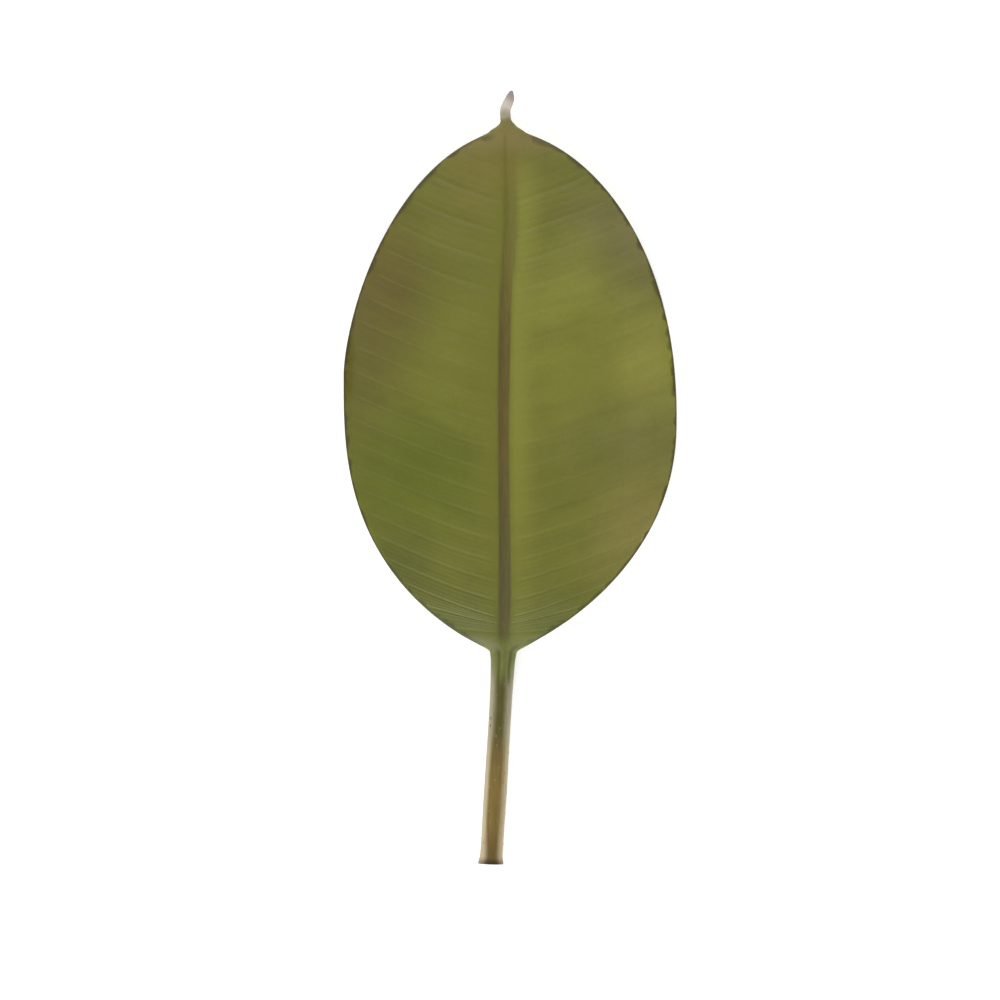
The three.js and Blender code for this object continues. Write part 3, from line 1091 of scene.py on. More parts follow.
class SharedEffects:
    """The effects that more than one finish uses, each built once as a node group."""

    def __init__(self) -> None:
        """Builds every group."""
        self.mottle = self._mottle()
        self.tint_or_sheen_patch = self._tint_or_sheen_patch()
        self.veins = self._veins()
        self.grain = self._grain()
        self.stalk_colour = self._stalk_colour(StalkColours())
        self.tip_colour = self._tip_colour(TipColours())

    def _mottle(self) -> bpy.types.NodeTree:
        """Uneven light and dark, such as a living skin has, as a number near 1.

        Returns:
            The group.
        """
        tree, bench, taken, given = new_group(
            "uneven tone", {"Scale": FLOAT, "Stretch": VECTOR, "Depth": FLOAT}, {"Tone": FLOAT}
        )
        spread = bench.vector("MULTIPLY", bench.place(), taken["Stretch"])
        away = bench.math("SUBTRACT", bench.noise(spread, taken["Scale"], 4.0, 0.6), 0.5)
        scaled = bench.times(away, taken["Depth"])
        bench.feed(given.inputs["Tone"], bench.math("ADD", scaled, 1.0))
        return tree

    def _tint_or_sheen_patch(self) -> bpy.types.NodeTree:
        """A soft-edged, slightly ragged patch round a place on the blade.

        Returns:
            The group.
        """
        tree, bench, taken, given = new_group(
            "tint_or_sheen_patch", {"Centre": VECTOR, "Reach": VECTOR, "Ragged": FLOAT}, {"Mask": FLOAT}
        )
        place = bench.vector("MULTIPLY", bench.place(), (1.0, 1.0, 0.0))
        away = bench.vector("SUBTRACT", place, taken["Centre"])
        scaled = bench.vector("DIVIDE", away, taken["Reach"])
        torn = bench.math("SUBTRACT", bench.noise(bench.place(), 70.0, 3.0), 0.5)
        out = bench.math("MULTIPLY_ADD", torn, taken["Ragged"], bench.length(scaled))
        bench.feed(given.inputs["Mask"], bench.ease(out, 0.0, 1.0, 1.0, 0.0))
        return tree

    def _veins(self) -> bpy.types.NodeTree:
        """Where the side veins, the lesser ones between them and the fine net show.

        Returns:
            The group.
        """
        tree, bench, taken, given = new_group(
            "side veins",
            {"Half Width": FLOAT, "Lesser Half Width": FLOAT, "Net Scale": FLOAT},
            {"Side": FLOAT, "Lesser": FLOAT, "Net": FLOAT},
        )
        vein = bench.measure("vein")
        shown = bench.measure("vein_show")
        kinds = ((1.0, "Half Width", "Side"), (LESSER_VEINS, "Lesser Half Width", "Lesser"))
        for count, width, name in kinds:
            away = bench.math("PINGPONG", bench.times(vein, count), 0.5)
            near = bench.ease(away, 0.0, bench.times(taken[width], count), 1.0, 0.0)
            bench.feed(given.inputs[name], bench.times(near, shown))
        wander = bench.node(
            "ShaderNodeTexVoronoi",
            {"Vector": bench.stretched((1.0, 1.6, 1.0)), "Scale": taken["Net Scale"]},
            feature="DISTANCE_TO_EDGE",
        )
        net = bench.ease(wander.outputs["Distance"], 0.0, 0.09, 1.0, 0.0)
        bench.feed(given.inputs["Net"], bench.times(net, shown))
        return tree

    def _grain(self) -> bpy.types.NodeTree:
        """The fine relief of a waxy skin: cells, and a little unevenness.

        Returns:
            The group.
        """
        tree, bench, taken, given = new_group(
            "skin grain", {"Scale": FLOAT, "Stretch": VECTOR}, {"Height": FLOAT, "Speck": FLOAT}
        )
        spread = bench.vector("MULTIPLY", bench.place(), taken["Stretch"])
        cells = bench.node("ShaderNodeTexVoronoi", {"Vector": spread, "Scale": taken["Scale"]})
        rough = bench.noise(spread, bench.times(taken["Scale"], 0.3), 5.0, 0.65)
        height = bench.math("MULTIPLY_ADD", cells.outputs["Distance"], -0.4, rough)
        bench.feed(given.inputs["Height"], height)
        bench.feed(given.inputs["Speck"], bench.ease(cells.outputs["Distance"], 0.05, 0.22, 1.0, 0.0))
        return tree

    def _flank_sheen(
        self, bench: ShaderBench, look: StalkColours, share: Socket, dry: Socket, low: Socket
    ) -> Socket:
        """How far the painted sheen of the pale flanks covers the stalk.

        Args:
            bench: the group's bench.
            look: the stalk's colours.
            share: the place across the stalk, from -1 to 1.
            dry: how dry the stalk is.
            low: how near the cut end is.

        Returns:
            The share of the flanks' painted sheen.
        """
        edge = bench.ease(dry, *look.flank_sheen_edge_dries, *look.flank_sheen_edge_left)
        left = bench.ease(dry, 0.0, 1.0, *look.flank_sheen_left)
        left = bench.math("MULTIPLY_ADD", low, look.flank_sheen_widens[0], left)
        right = bench.ease(dry, 0.0, 1.0, *look.flank_sheen_right)
        right = bench.math("MULTIPLY_ADD", low, -look.flank_sheen_widens[1], right)
        on_left = bench.ease(share, edge, left, 1.0, 0.0)
        on_right = bench.ease(share, right, look.flank_sheen_edge_right)
        return bench.math("ADD", on_left, on_right)

    def _stalk_colour(self, look: StalkColours) -> bpy.types.NodeTree:
        """The stalk's colour along its length, with painted shade in its furrows, painted sheen on
        its pale flanks, and streaks.

        Args:
            look: its colours, and where they give way to each other.

        Returns:
            The group.
        """
        tree, bench, _, given = new_group(
            "stalk colour", {}, {"Colour": COLOUR, "Dryness": FLOAT}
        )
        torn = bench.math("SUBTRACT", bench.noise(bench.place(), look.torn_scale), 0.5)
        along = bench.math("MULTIPLY_ADD", torn, look.torn_reach, bench.measure("along"))
        share = bench.signed_share()
        colour = bench.mix(bench.ease(along, *look.olive_by, 1.0, 0.0), look.top, look.olive)
        dry = bench.ease(along, *look.brown_by, 1.0, 0.0)
        colour = bench.mix(dry, colour, look.brown)
        low = bench.ease(along, *look.low_by, 1.0, 0.0)
        colour = bench.mix(low, colour, look.low)
        # Painted sheen on the stalk's pale flanks, fading out towards the blade.
        painted_sheen = self._flank_sheen(bench, look, share, dry, low)
        painted_sheen = bench.times(painted_sheen, bench.ease(along, *look.flank_sheen_by, 1.0, 0.0))
        colour = bench.mix(painted_sheen, colour, bench.mix(dry, look.flank_sheen, look.flank_sheen_low))
        # Painted shade in the two furrows on the stalk's top, over its last stretch below the blade.
        for half, by in ((LEFT_HALF, look.furrow_shade_left_by), (RIGHT_HALF, look.furrow_shade_right_by)):
            at = half.side * math.sin(half.furrow_angle)
            furrow_shade = bench.window(share, at - look.furrow_shade_spread, at, at + look.furrow_shade_spread)
            ends = bench.ease(along, *look.furrow_shade_ends, look.furrow_shade_strength, 0.0)
            colour = bench.mix(
                bench.times(furrow_shade, bench.ease(along, *by), ends), colour, look.furrow
            )
        streaks = bench.noise(bench.stretched(look.streak_stretch), look.streak_scale, 4.0, 0.6)
        colour = bench.dim(colour, bench.ease(streaks, *NOISE_SPAN, *look.streak_tones))
        from_cut = bench.math("ADD", bench.measure("along"), Stalk().length)
        worn = bench.math("MULTIPLY_ADD", torn, look.singed_torn, from_cut)
        singed = bench.ease(worn, *look.singed_by, 1.0, 0.0)
        # The singed end is laid half as strongly under the flanks' painted sheen.
        spared = bench.math("MULTIPLY_ADD", painted_sheen, -look.flank_sheen_unsinged, 1.0)
        colour = bench.mix(bench.times(singed, spared), colour, look.singed)
        bench.feed(given.inputs["Colour"], colour)
        bench.feed(given.inputs["Dryness"], dry)
        return tree

    def _tip_colour(self, look: TipColours) -> bpy.types.NodeTree:
        """The colour towards the drip tip, and how withered it is.

        Args:
            look: its colours, and where they give way to each other.

        Returns:
            The group.
        """
        tree, bench, taken, given = new_group(
            "tip colour", {"Blade": COLOUR}, {"Colour": COLOUR, "Dryness": FLOAT}
        )
        torn = bench.math("SUBTRACT", bench.noise(bench.place(), look.ragged_scale), 0.5)
        along = bench.math("MULTIPLY_ADD", torn, look.ragged, bench.measure("along"))
        leaning = bench.math("MULTIPLY_ADD", bench.signed_share(), look.end_leans, along)
        colour = bench.mix(bench.ease(along, *look.straw_by), taken["Blade"], look.straw)
        dry = bench.ease(along, *look.grey_by)
        colour = bench.mix(dry, colour, look.grey)
        colour = bench.mix(bench.ease(along, *look.pale_by), colour, look.pale)
        streaks = bench.noise(bench.stretched(look.streak_stretch), look.streak_scale)
        colour = bench.dim(colour, bench.ease(streaks, *NOISE_SPAN, *look.streak_tones))
        end = bench.mix(bench.ease(leaning, *look.end_by), colour, look.end)
        bench.feed(given.inputs["Colour"], end)
        bench.feed(given.inputs["Dryness"], dry)
        return tree


@dataclass(frozen=True)
class TintOrSheenPatch:
    """A patch of the blade where its colour drifts, as a tint or as painted sheen: its place and
    reach in the frame.
    """

    x: float
    y: float
    across: float
    along: float
    colour: Colour
    strength: float


def start_material(name: str) -> tuple[bpy.types.Material, ShaderBench, bpy.types.Node]:
    """Starts a material.

    Args:
        name: the material's name.

    Returns:
        The material, a bench for it, and its surface shader.
    """
    made = bpy.data.materials.new(name)
    made.use_nodes = True
    made.node_tree.nodes.clear()
    bench = ShaderBench(made.node_tree)
    surface = bench.node("ShaderNodeBsdfPrincipled")
    output = bench.node("ShaderNodeOutputMaterial")
    bench.feed(output.inputs["Surface"], surface.outputs["BSDF"])
    return made, bench, surface


def join_stalk(bench: ShaderBench, effects: SharedEffects, colour: Socket) -> Socket:
    """Lets the stalk's colour take over where the blade closes to the stalk.

    Args:
        bench: the material's bench.
        effects: the shared groups.
        colour: the blade's colour.

    Returns:
        The colour of both.
    """
    opened = bench.ease(bench.measure("flat"), *BLADE_OPENS)
    past_join = bench.math("GREATER_THAN", bench.measure("along"), MID_LEAF)
    stalk = bench.group(effects.stalk_colour).outputs["Colour"]
    return bench.mix(bench.math("MAXIMUM", opened, past_join), stalk, colour)


@dataclass(frozen=True)
class VeinTints:
    """How a face's side veins, lesser veins and net are drawn, and what colours they take."""

    half_width: float
    lesser_half_width: float
    net_scale: float
    tints: tuple[tuple[str, float, Colour], ...]

    def draw(
        self, bench: ShaderBench, effects: SharedEffects, colour: Socket
    ) -> tuple[Socket, bpy.types.Node]:
        """Lays the veins over the colour, in the order of their tints.

        Args:
            bench: the material's bench.
            effects: the shared groups.
            colour: the colour so far.

        Returns:
            The colour with its veins, and the veins' group.
        """
        veins = bench.group(
            effects.veins, Half_Width=self.half_width,
            Lesser_Half_Width=self.lesser_half_width, Net_Scale=self.net_scale,
        )
        for name, weight, tint in self.tints:
            colour = bench.mix(bench.times(veins.outputs[name], weight), colour, tint)
        return colour, veins


@dataclass(frozen=True)
class RibStrip:
    """The brown strip along the midrib, and the lighter bands beside it."""

    low: Colour = paint(96, 91, 50)
    middle: Colour = paint(106, 93, 45)
    high: Colour = paint(117, 111, 49)
    middle_by: Span = (20 * MM, 80 * MM)
    high_by: Span = (95 * MM, 135 * MM)
    drifts: Span = (112 * MM, 142 * MM)
    drift: float = 0.9 * MM
    bank_grows: Span = (20 * MM, 75 * MM)
    bank_at_base: float = 0.4
    bank_fades: Span = (145 * MM, 168 * MM)
    banks: tuple[tuple[float, float, float, float, Colour], ...] = (
        (1.0 * MM, 3.8 * MM, 13 * MM, 0.72, paint(137, 138, 57)),
        (-13 * MM, -3.6 * MM, -1.0 * MM, 0.6, paint(121, 121, 49)),
    )
    half_width: Span = (2.2 * MM, 1.7 * MM)
    narrows_until: float = 60 * MM
    tapers: Span = (3 * MM, 18 * MM)
    taper: float = 0.68
    broadens: Span = (60 * MM, 110 * MM)
    broader: float = 1.18
    edge: Span = (0.82, 1.18)
    starts: Span = (3.8 * MM, 6.2 * MM)
    fades: Span = (124 * MM, 160 * MM)
    streak_stretch: Triple = (1.0, 0.08, 1.0)
    streak_scale: float = 1400.0
    streak_tones: Span = (0.92, 1.08)

    def inside(self, bench: ShaderBench, along: Socket, offset: Socket) -> Socket:
        """Where the strip lies.

        Args:
            bench: the material's bench.
            along: the place along the leaf.
            offset: the place to the right of the strip's middle.

        Returns:
            The strip's mask.
        """
        wide = bench.node("ShaderNodeMapRange", {
            "Value": along, "From Min": 0.0, "From Max": self.narrows_until,
            "To Min": self.half_width[0], "To Max": self.half_width[1],
        }).outputs[0]
        wide = bench.times(
            wide,
            bench.ease(along, *self.tapers, self.taper, 1.0),
            bench.ease(along, *self.broadens, 1.0, self.broader),
        )
        ratio = bench.math("DIVIDE", bench.math("ABSOLUTE", offset), wide)
        return bench.times(
            bench.ease(ratio, *self.edge, 1.0, 0.0),
            bench.ease(along, *self.starts),
            bench.ease(along, *self.fades, 1.0, 0.0),
        )

    def draw(self, bench: ShaderBench, colour: Socket) -> tuple[Socket, Socket]:
        """Lays the bands and the strip over the colour.

        Args:
            bench: the material's bench.
            colour: the colour so far.

        Returns:
            The new colour, and the strip's mask.
        """
        along = bench.measure("along")
        aside = bench.ease(along, *self.drifts, 0.0, self.drift)
        offset = bench.math("SUBTRACT", bench.measure("rib_offset"), aside)
        length = bench.times(
            bench.ease(along, *self.bank_grows, self.bank_at_base, 1.0),
            bench.ease(along, *self.bank_fades, 1.0, 0.0),
        )
        for near, peak, far, strength, bank in self.banks:
            shown = bench.times(bench.window(offset, near, peak, far), length, strength)
            colour = bench.mix(shown, colour, bank)
        strip = bench.mix(bench.ease(along, *self.middle_by), self.low, self.middle)
        strip = bench.mix(bench.ease(along, *self.high_by), strip, self.high)
        streak = bench.noise(bench.stretched(self.streak_stretch), self.streak_scale)
        strip = bench.dim(strip, bench.ease(streak, *NOISE_SPAN, *self.streak_tones))
        inside = self.inside(bench, along, offset)
        return bench.mix(inside, colour, strip), inside


@dataclass(frozen=True)
class UpperMarginLineAndShade:
    """The dark line along the upper face's margin, partly the edge's own brownish colour and partly
    painted shade of the rolled-down margin, broader and blotched at base and tip.
    """

    brown: Colour = paint(70, 62, 32)
    green: Colour = paint(72, 76, 32)
    width: float = 0.75 * MM
    edge: Span = (0.7, 2.4)
    strength: float = 0.86
    base_by: Span = (6 * MM, 34 * MM)
    tip_by: Span = (158 * MM, 166 * MM)
    wide_at_base: float = 1.4
    wide_at_tip: float = 1.0
    faint_at_tip: float = 0.35
    ends: Span = (165.8 * MM, 168 * MM)
    torn_scale: float = 260.0
    torn: float = 0.5 * MM
    blotch_scale: float = 190.0
    blotches: Span = (0.55, 1.35)

    def draw(self, bench: ShaderBench, colour: Socket) -> Socket:
        """Lays the margin line, its own colour and painted shade together, over the colour.

        Args:
            bench: the material's bench.
            colour: the colour so far.

        Returns:
            The colour with its margin.
        """
        along = bench.measure("along")
        base = bench.ease(along, *self.base_by, 1.0, 0.0)
        tip = bench.ease(along, *self.tip_by)
        broad = bench.math("MULTIPLY_ADD", base, self.wide_at_base, 1.0)
        broad = bench.math("MULTIPLY_ADD", tip, self.wide_at_tip, broad)
        torn = bench.noise(bench.place(), self.torn_scale)
        worn = bench.math("MULTIPLY_ADD", torn, self.torn, bench.measure("margin_gap"))
        blotch = bench.noise(bench.place(), self.blotch_scale, 2.0)
        blotch = bench.ease(blotch, *NOISE_CORE, *self.blotches)
        worn = bench.math("DIVIDE", worn, bench.times(broad, blotch))
        edge = bench.times(
            bench.ease(worn, self.width * self.edge[0], self.width * self.edge[1], 1.0, 0.0),
            bench.ease(along, *self.ends, self.strength, 0.0),
            bench.math("MULTIPLY_ADD", tip, -self.faint_at_tip, 1.0),
        )
        return bench.mix(edge, colour, bench.mix(base, self.brown, self.green))


@dataclass(frozen=True)
class UpperFinish:
    """The upper face: satin olive, drifting in colour, with a brown midrib and a dark margin that is
    partly painted shade.
    """

    effects: SharedEffects
    green: Colour = paint(111, 113, 44)
    patches: tuple[TintOrSheenPatch, ...] = (
        TintOrSheenPatch(-44 * MM, 62 * MM, 34 * MM, 46 * MM, paint(106, 92, 48), 0.8),
        TintOrSheenPatch(-8 * MM, 105 * MM, 30 * MM, 40 * MM, paint(124, 113, 48), 0.85),
        # Greyish patch near the upper right margin: painted sheen, the pale surroundings reflected
        # off the sloping margin.
        TintOrSheenPatch(38 * MM, 78 * MM, 30 * MM, 34 * MM, paint(126, 118, 78), 0.75),
        TintOrSheenPatch(20 * MM, 62 * MM, 26 * MM, 24 * MM, paint(139, 141, 62), 0.75),
        TintOrSheenPatch(46 * MM, 38 * MM, 32 * MM, 31 * MM, paint(145, 142, 62), 0.85),
        TintOrSheenPatch(14 * MM, 36 * MM, 22 * MM, 40 * MM, paint(136, 136, 56), 0.6),
        TintOrSheenPatch(-16 * MM, 40 * MM, 18 * MM, 44 * MM, paint(123, 124, 49), 0.6),
        TintOrSheenPatch(-50 * MM, 33 * MM, 24 * MM, 42 * MM, paint(93, 86, 27), 0.65),
        TintOrSheenPatch(-30 * MM, 2 * MM, 38 * MM, 32 * MM, paint(97, 106, 31), 0.75),
        TintOrSheenPatch(38 * MM, 12 * MM, 36 * MM, 20 * MM, paint(122, 121, 66), 0.6),
        TintOrSheenPatch(44 * MM, -16 * MM, 30 * MM, 40 * MM, paint(141, 130, 74), 0.75),
        TintOrSheenPatch(-36 * MM, -30 * MM, 22 * MM, 24 * MM, paint(91, 95, 42), 0.7),
        TintOrSheenPatch(0 * MM, -50 * MM, 46 * MM, 26 * MM, paint(95, 100, 47), 0.75),
    )
    patch_raggedness: float = 0.5
    tones: tuple[tuple[float, Triple, float], ...] = (
        (55.0, (0.5, 1.6, 1.0), 0.22),
        (420.0, EVEN, 0.1),
    )
    band_scale: float = 1.1
    band_tones: Span = (0.94, 1.06)
    veins: VeinTints = VeinTints(0.055, 0.03, 900.0, (
        ("Side", 0.16, paint(138, 138, 66)),
        ("Lesser", 0.06, paint(138, 138, 70)),
        ("Net", 0.1, paint(88, 92, 36)),
    ))
    strip: RibStrip = RibStrip()
    margin: UpperMarginLineAndShade = UpperMarginLineAndShade()
    roughness: float = 0.42
    strip_roughness: float = 0.12
    gloss: Span = (180.0, 0.35)
    reflection: float = 0.33
    grain_scale: float = 3600.0
    net_relief: float = -0.45
    lesser_relief: float = -0.7
    relief: Span = (0.35, 0.08 * MM)

    def colour(self, bench: ShaderBench) -> Socket:
        """The blade's colour: patches that run into each other, one of them painted sheen, and an
        uneven tone.

        Args:
            bench: the material's bench.

        Returns:
            The colour before the veins, the strip and the margin.
        """
        colour = self.green
        for patch in self.patches:
            mask = bench.group(
                self.effects.tint_or_sheen_patch, Centre=(patch.x, patch.y, 0.0),
                Reach=(patch.across, patch.along, 1.0), Ragged=self.patch_raggedness,
            ).outputs["Mask"]
            colour = bench.mix(bench.times(mask, patch.strength), colour, patch.colour)
        for scale, stretch, depth in self.tones:
            colour = bench.dim(colour, bench.tone(self.effects, scale, depth, stretch))
        place = bench.node("ShaderNodeCombineXYZ", {
            0: bench.measure("share"), 1: bench.measure("vein"),
        }).outputs[0]
        bands = bench.noise(place, self.band_scale, 2.0)
        return bench.dim(colour, bench.ease(bands, *NOISE_SPAN, *self.band_tones))

    def make(self) -> bpy.types.Material:
        """Builds the material.

        Returns:
            The material.
        """
        made, bench, surface = start_material("leaf upper skin")
        colour, veins = self.veins.draw(bench, self.effects, self.colour(bench))
        colour, strip = self.strip.draw(bench, colour)
        colour = bench.group(self.effects.tip_colour, Blade=colour).outputs["Colour"]
        # Dark margin line: the edge's own brownish colour together with painted shade of the
        # rolled-down margin.
        colour = self.margin.draw(bench, colour)
        bench.feed(surface.inputs["Base Color"], join_stalk(bench, self.effects, colour))
        rough = bench.times(bench.tone(self.effects, *self.gloss), self.roughness)
        rough = bench.math("MULTIPLY_ADD", strip, self.strip_roughness, rough)
        bench.feed(surface.inputs["Roughness"], rough)
        surface.inputs["Specular IOR Level"].default_value = self.reflection
        grain = bench.group(self.effects.grain, Scale=self.grain_scale, Stretch=EVEN)
        height = bench.math(
            "MULTIPLY_ADD", veins.outputs["Net"], self.net_relief, grain.outputs["Height"]
        )
        height = bench.math("MULTIPLY_ADD", veins.outputs["Lesser"], self.lesser_relief, height)
        bench.relief(surface, height, *self.relief)
        return made


@dataclass(frozen=True)
class UnderFinish:
    """The lower face: paler and duller, with raised veins, a fine net and a yellowish keel."""

    effects: SharedEffects
    green: Colour = paint(150, 156, 100)
    shaded: Colour = paint(134, 140, 82)
    patch_scale: float = 40.0
    fine: Span = (500.0, 0.16)
    veins: VeinTints = VeinTints(0.07, 0.035, 700.0, (
        ("Net", 0.4, paint(120, 130, 74)),
        ("Lesser", 0.35, paint(166, 166, 112)),
        ("Side", 0.7, paint(166, 166, 112)),
    ))
    keel: Colour = paint(158, 148, 90)
    keel_edge: Span = (2.2 * MM, 3.6 * MM)
    streak_stretch: Triple = (1.0, 0.06, 1.0)
    streak_scale: float = 1300.0
    streak_tones: Span = (0.9, 1.08)
    rim: Colour = paint(96, 84, 44)
    rim_edge: Span = (0.5 * MM, 1.2 * MM)
    rim_strength: float = 0.8
    roughness: float = 0.6
    gloss: Span = (220.0, 0.25)
    reflection: float = 0.35
    grain_scale: float = 3000.0
    vein_relief: float = 0.9
    relief: Span = (0.6, 0.12 * MM)

    def make(self) -> bpy.types.Material:
        """Builds the material.

        Returns:
            The material.
        """
        made, bench, surface = start_material("leaf under skin")
        patch = bench.ease(bench.noise(bench.place(), self.patch_scale, 4.0), *NOISE_CORE)
        colour = bench.mix(patch, self.green, self.shaded)
        colour = bench.dim(colour, bench.tone(self.effects, *self.fine))
        colour, veins = self.veins.draw(bench, self.effects, colour)
        away = bench.math("ABSOLUTE", bench.measure("rib_offset"))
        keel = bench.ease(away, *self.keel_edge, 1.0, 0.0)
        streak = bench.noise(bench.stretched(self.streak_stretch), self.streak_scale)
        streaked = bench.dim(self.keel, bench.ease(streak, *NOISE_SPAN, *self.streak_tones))
        colour = bench.mix(keel, colour, streaked)
        edge = bench.ease(bench.measure("margin_gap"), *self.rim_edge, self.rim_strength, 0.0)
        colour = bench.mix(edge, colour, self.rim)
        colour = bench.group(self.effects.tip_colour, Blade=colour).outputs["Colour"]
        bench.feed(surface.inputs["Base Color"], join_stalk(bench, self.effects, colour))
        rough = bench.times(bench.tone(self.effects, *self.gloss), self.roughness)
        bench.feed(surface.inputs["Roughness"], rough)
        surface.inputs["Specular IOR Level"].default_value = self.reflection
        grain = bench.group(self.effects.grain, Scale=self.grain_scale, Stretch=EVEN)
        height = grain.outputs["Height"]
        for name in ("Net", "Lesser"):
            height = bench.math("MULTIPLY_ADD", veins.outputs[name], self.vein_relief, height)
        bench.relief(surface, height, *self.relief)
        return made


@dataclass(frozen=True)
class StalkFinish:
    """The stalk: green under the blade, drying to brown, with lengthwise streaks."""

    effects: SharedEffects
    fine: tuple[float, float, Triple] = (700.0, 0.2, (1.0, 0.35, 1.0))
    grain_scale: float = 2600.0
    grain_stretch: Triple = (1.0, 0.3, 1.0)
    speck: Colour = paint(158, 140, 96)
    speck_strength: float = 0.14
    roughness: float = 0.46
    dry_roughness: float = 0.14
    reflection: float = 0.33
    ridge_stretch: Triple = (1.0, 0.04, 1.0)
    ridge_scale: float = 1900.0
    grain_relief: float = 0.35
    relief: Span = (0.55, 0.16 * MM)

    def make(self) -> bpy.types.Material:
        """Builds the material.

        Returns:
            The material.
        """
        made, bench, surface = start_material("stalk skin")
        stalk = bench.group(self.effects.stalk_colour)
        fine = bench.tone(self.effects, *self.fine)
        grain = bench.group(
            self.effects.grain, Scale=self.grain_scale, Stretch=self.grain_stretch
        )
        speck = bench.times(grain.outputs["Speck"], self.speck_strength)
        colour = bench.mix(speck, bench.dim(stalk.outputs["Colour"], fine), self.speck)
        bench.feed(surface.inputs["Base Color"], colour)
        rough = bench.times(fine, self.roughness)
        rough = bench.math("MULTIPLY_ADD", stalk.outputs["Dryness"], self.dry_roughness, rough)
        bench.feed(surface.inputs["Roughness"], rough)
        surface.inputs["Specular IOR Level"].default_value = self.reflection
        ridges = bench.noise(bench.stretched(self.ridge_stretch), self.ridge_scale, 4.0, 0.55)
        height = bench.math("MULTIPLY_ADD", grain.outputs["Height"], self.grain_relief, ridges)
        bench.relief(surface, height, *self.relief)
        return made


@dataclass(frozen=True)
class CutFinish:
    """The cut face: a dark rind, a brown ring of fibres and a paler pith."""

    effects: SharedEffects
    middle: Span
    radius: float = 3.6 * MM
    upright: float = 1.12
    rind: Colour = paint(60, 46, 24)
    fibres: Colour = paint(92, 70, 36)
    pith: Colour = paint(140, 112, 68)
    bundle: Colour = paint(150, 122, 74)
    torn_scale: float = 900.0
    torn: float = 0.16
    fibres_by: Span = (0.38, 0.56)
    rind_by: Span = (0.8, 0.92)
    bundle_scale: float = 2300.0
    bundle_edge: Span = (0.12, 0.42)
    bundle_ring: Triple = (0.45, 0.66, 0.86)
    tone: Span = (900.0, 0.3)
    roughness: float = 0.82
    relief: Span = (0.8, 0.2 * MM)

    def make(self) -> bpy.types.Material:
        """Builds the material.

        Returns:
            The material.
        """
        made, bench, surface = start_material("stalk cut face")
        place = bench.vector("SUBTRACT", bench.place(), (self.middle[0], 0.0, self.middle[1]))
        level = bench.vector("MULTIPLY", place, (1.0, 0.0, self.upright))
        out = bench.math("DIVIDE", bench.length(level), self.radius)
        torn = bench.math("SUBTRACT", bench.noise(bench.place(), self.torn_scale), 0.5)
        out = bench.math("MULTIPLY_ADD", torn, self.torn, out)
        colour = bench.mix(bench.ease(out, *self.fibres_by), self.pith, self.fibres)
        colour = bench.mix(bench.ease(out, *self.rind_by), colour, self.rind)
        dots = bench.node(
            "ShaderNodeTexVoronoi", {"Vector": bench.place(), "Scale": self.bundle_scale}
        )
        bundle = bench.ease(dots.outputs["Distance"], *self.bundle_edge, 1.0, 0.0)
        shown = bench.times(bundle, bench.window(out, *self.bundle_ring))
        bench.feed(surface.inputs["Base Color"], bench.mix(shown, colour, self.bundle))
        tone = bench.tone(self.effects, *self.tone)
        bench.feed(surface.inputs["Roughness"], bench.times(tone, self.roughness))
        bench.relief(surface, bundle, *self.relief)
        return made


@dataclass(frozen=True)
class TipFinish:
    """The withered drip tip: papery, pale and brown at its end."""

    effects: SharedEffects
    tone: tuple[float, float, Triple] = (1500.0, 0.22, (1.0, 0.4, 1.0))
    roughness: float = 0.42
    dry_roughness: float = 0.2
    reflection: float = 0.33
    fold_stretch: Triple = (1.0, 0.25, 1.0)
    fold_scale: float = 3200.0
    relief: Span = (0.8, 0.15 * MM)

    def make(self) -> bpy.types.Material:
        """Builds the material.

        Returns:
            The material.
        """
        made, bench, surface = start_material("drip tip skin")
        tip = bench.group(self.effects.tip_colour, Blade=TipColours().straw)
        tone = bench.tone(self.effects, *self.tone)
        bench.feed(surface.inputs["Base Color"], bench.dim(tip.outputs["Colour"], tone))
        dry = tip.outputs["Dryness"]
        matt = bench.math("MULTIPLY_ADD", dry, self.dry_roughness, self.roughness)
        bench.feed(surface.inputs["Roughness"], bench.times(tone, matt))
        surface.inputs["Specular IOR Level"].default_value = self.reflection
        folds = bench.noise(bench.stretched(self.fold_stretch), self.fold_scale)
        bench.relief(surface, bench.times(folds, dry), *self.relief)
        return made


@dataclass(frozen=True)
class PoreFinish:
    """The pores on the stalk: small, pale and corky."""

    effects: SharedEffects
    cork: Colour = paint(152, 133, 90)
    green_cork: Colour = paint(116, 114, 68)
    cork_by: Span = (-46 * MM, -20 * MM)
    tone: Span = (2200.0, 0.4)
    roughness: float = 0.7

    def make(self) -> bpy.types.Material:
        """Builds the material.

        Returns:
            The material.
        """
        made, bench, surface = start_material("stalk pore cork")
        dry = bench.ease(bench.measure("along"), *self.cork_by, 1.0, 0.0)
        colour = bench.mix(dry, self.green_cork, self.cork)
        tone = bench.tone(self.effects, *self.tone)
        bench.feed(surface.inputs["Base Color"], bench.dim(colour, tone))
        bench.feed(surface.inputs["Roughness"], bench.times(tone, self.roughness))
        return made


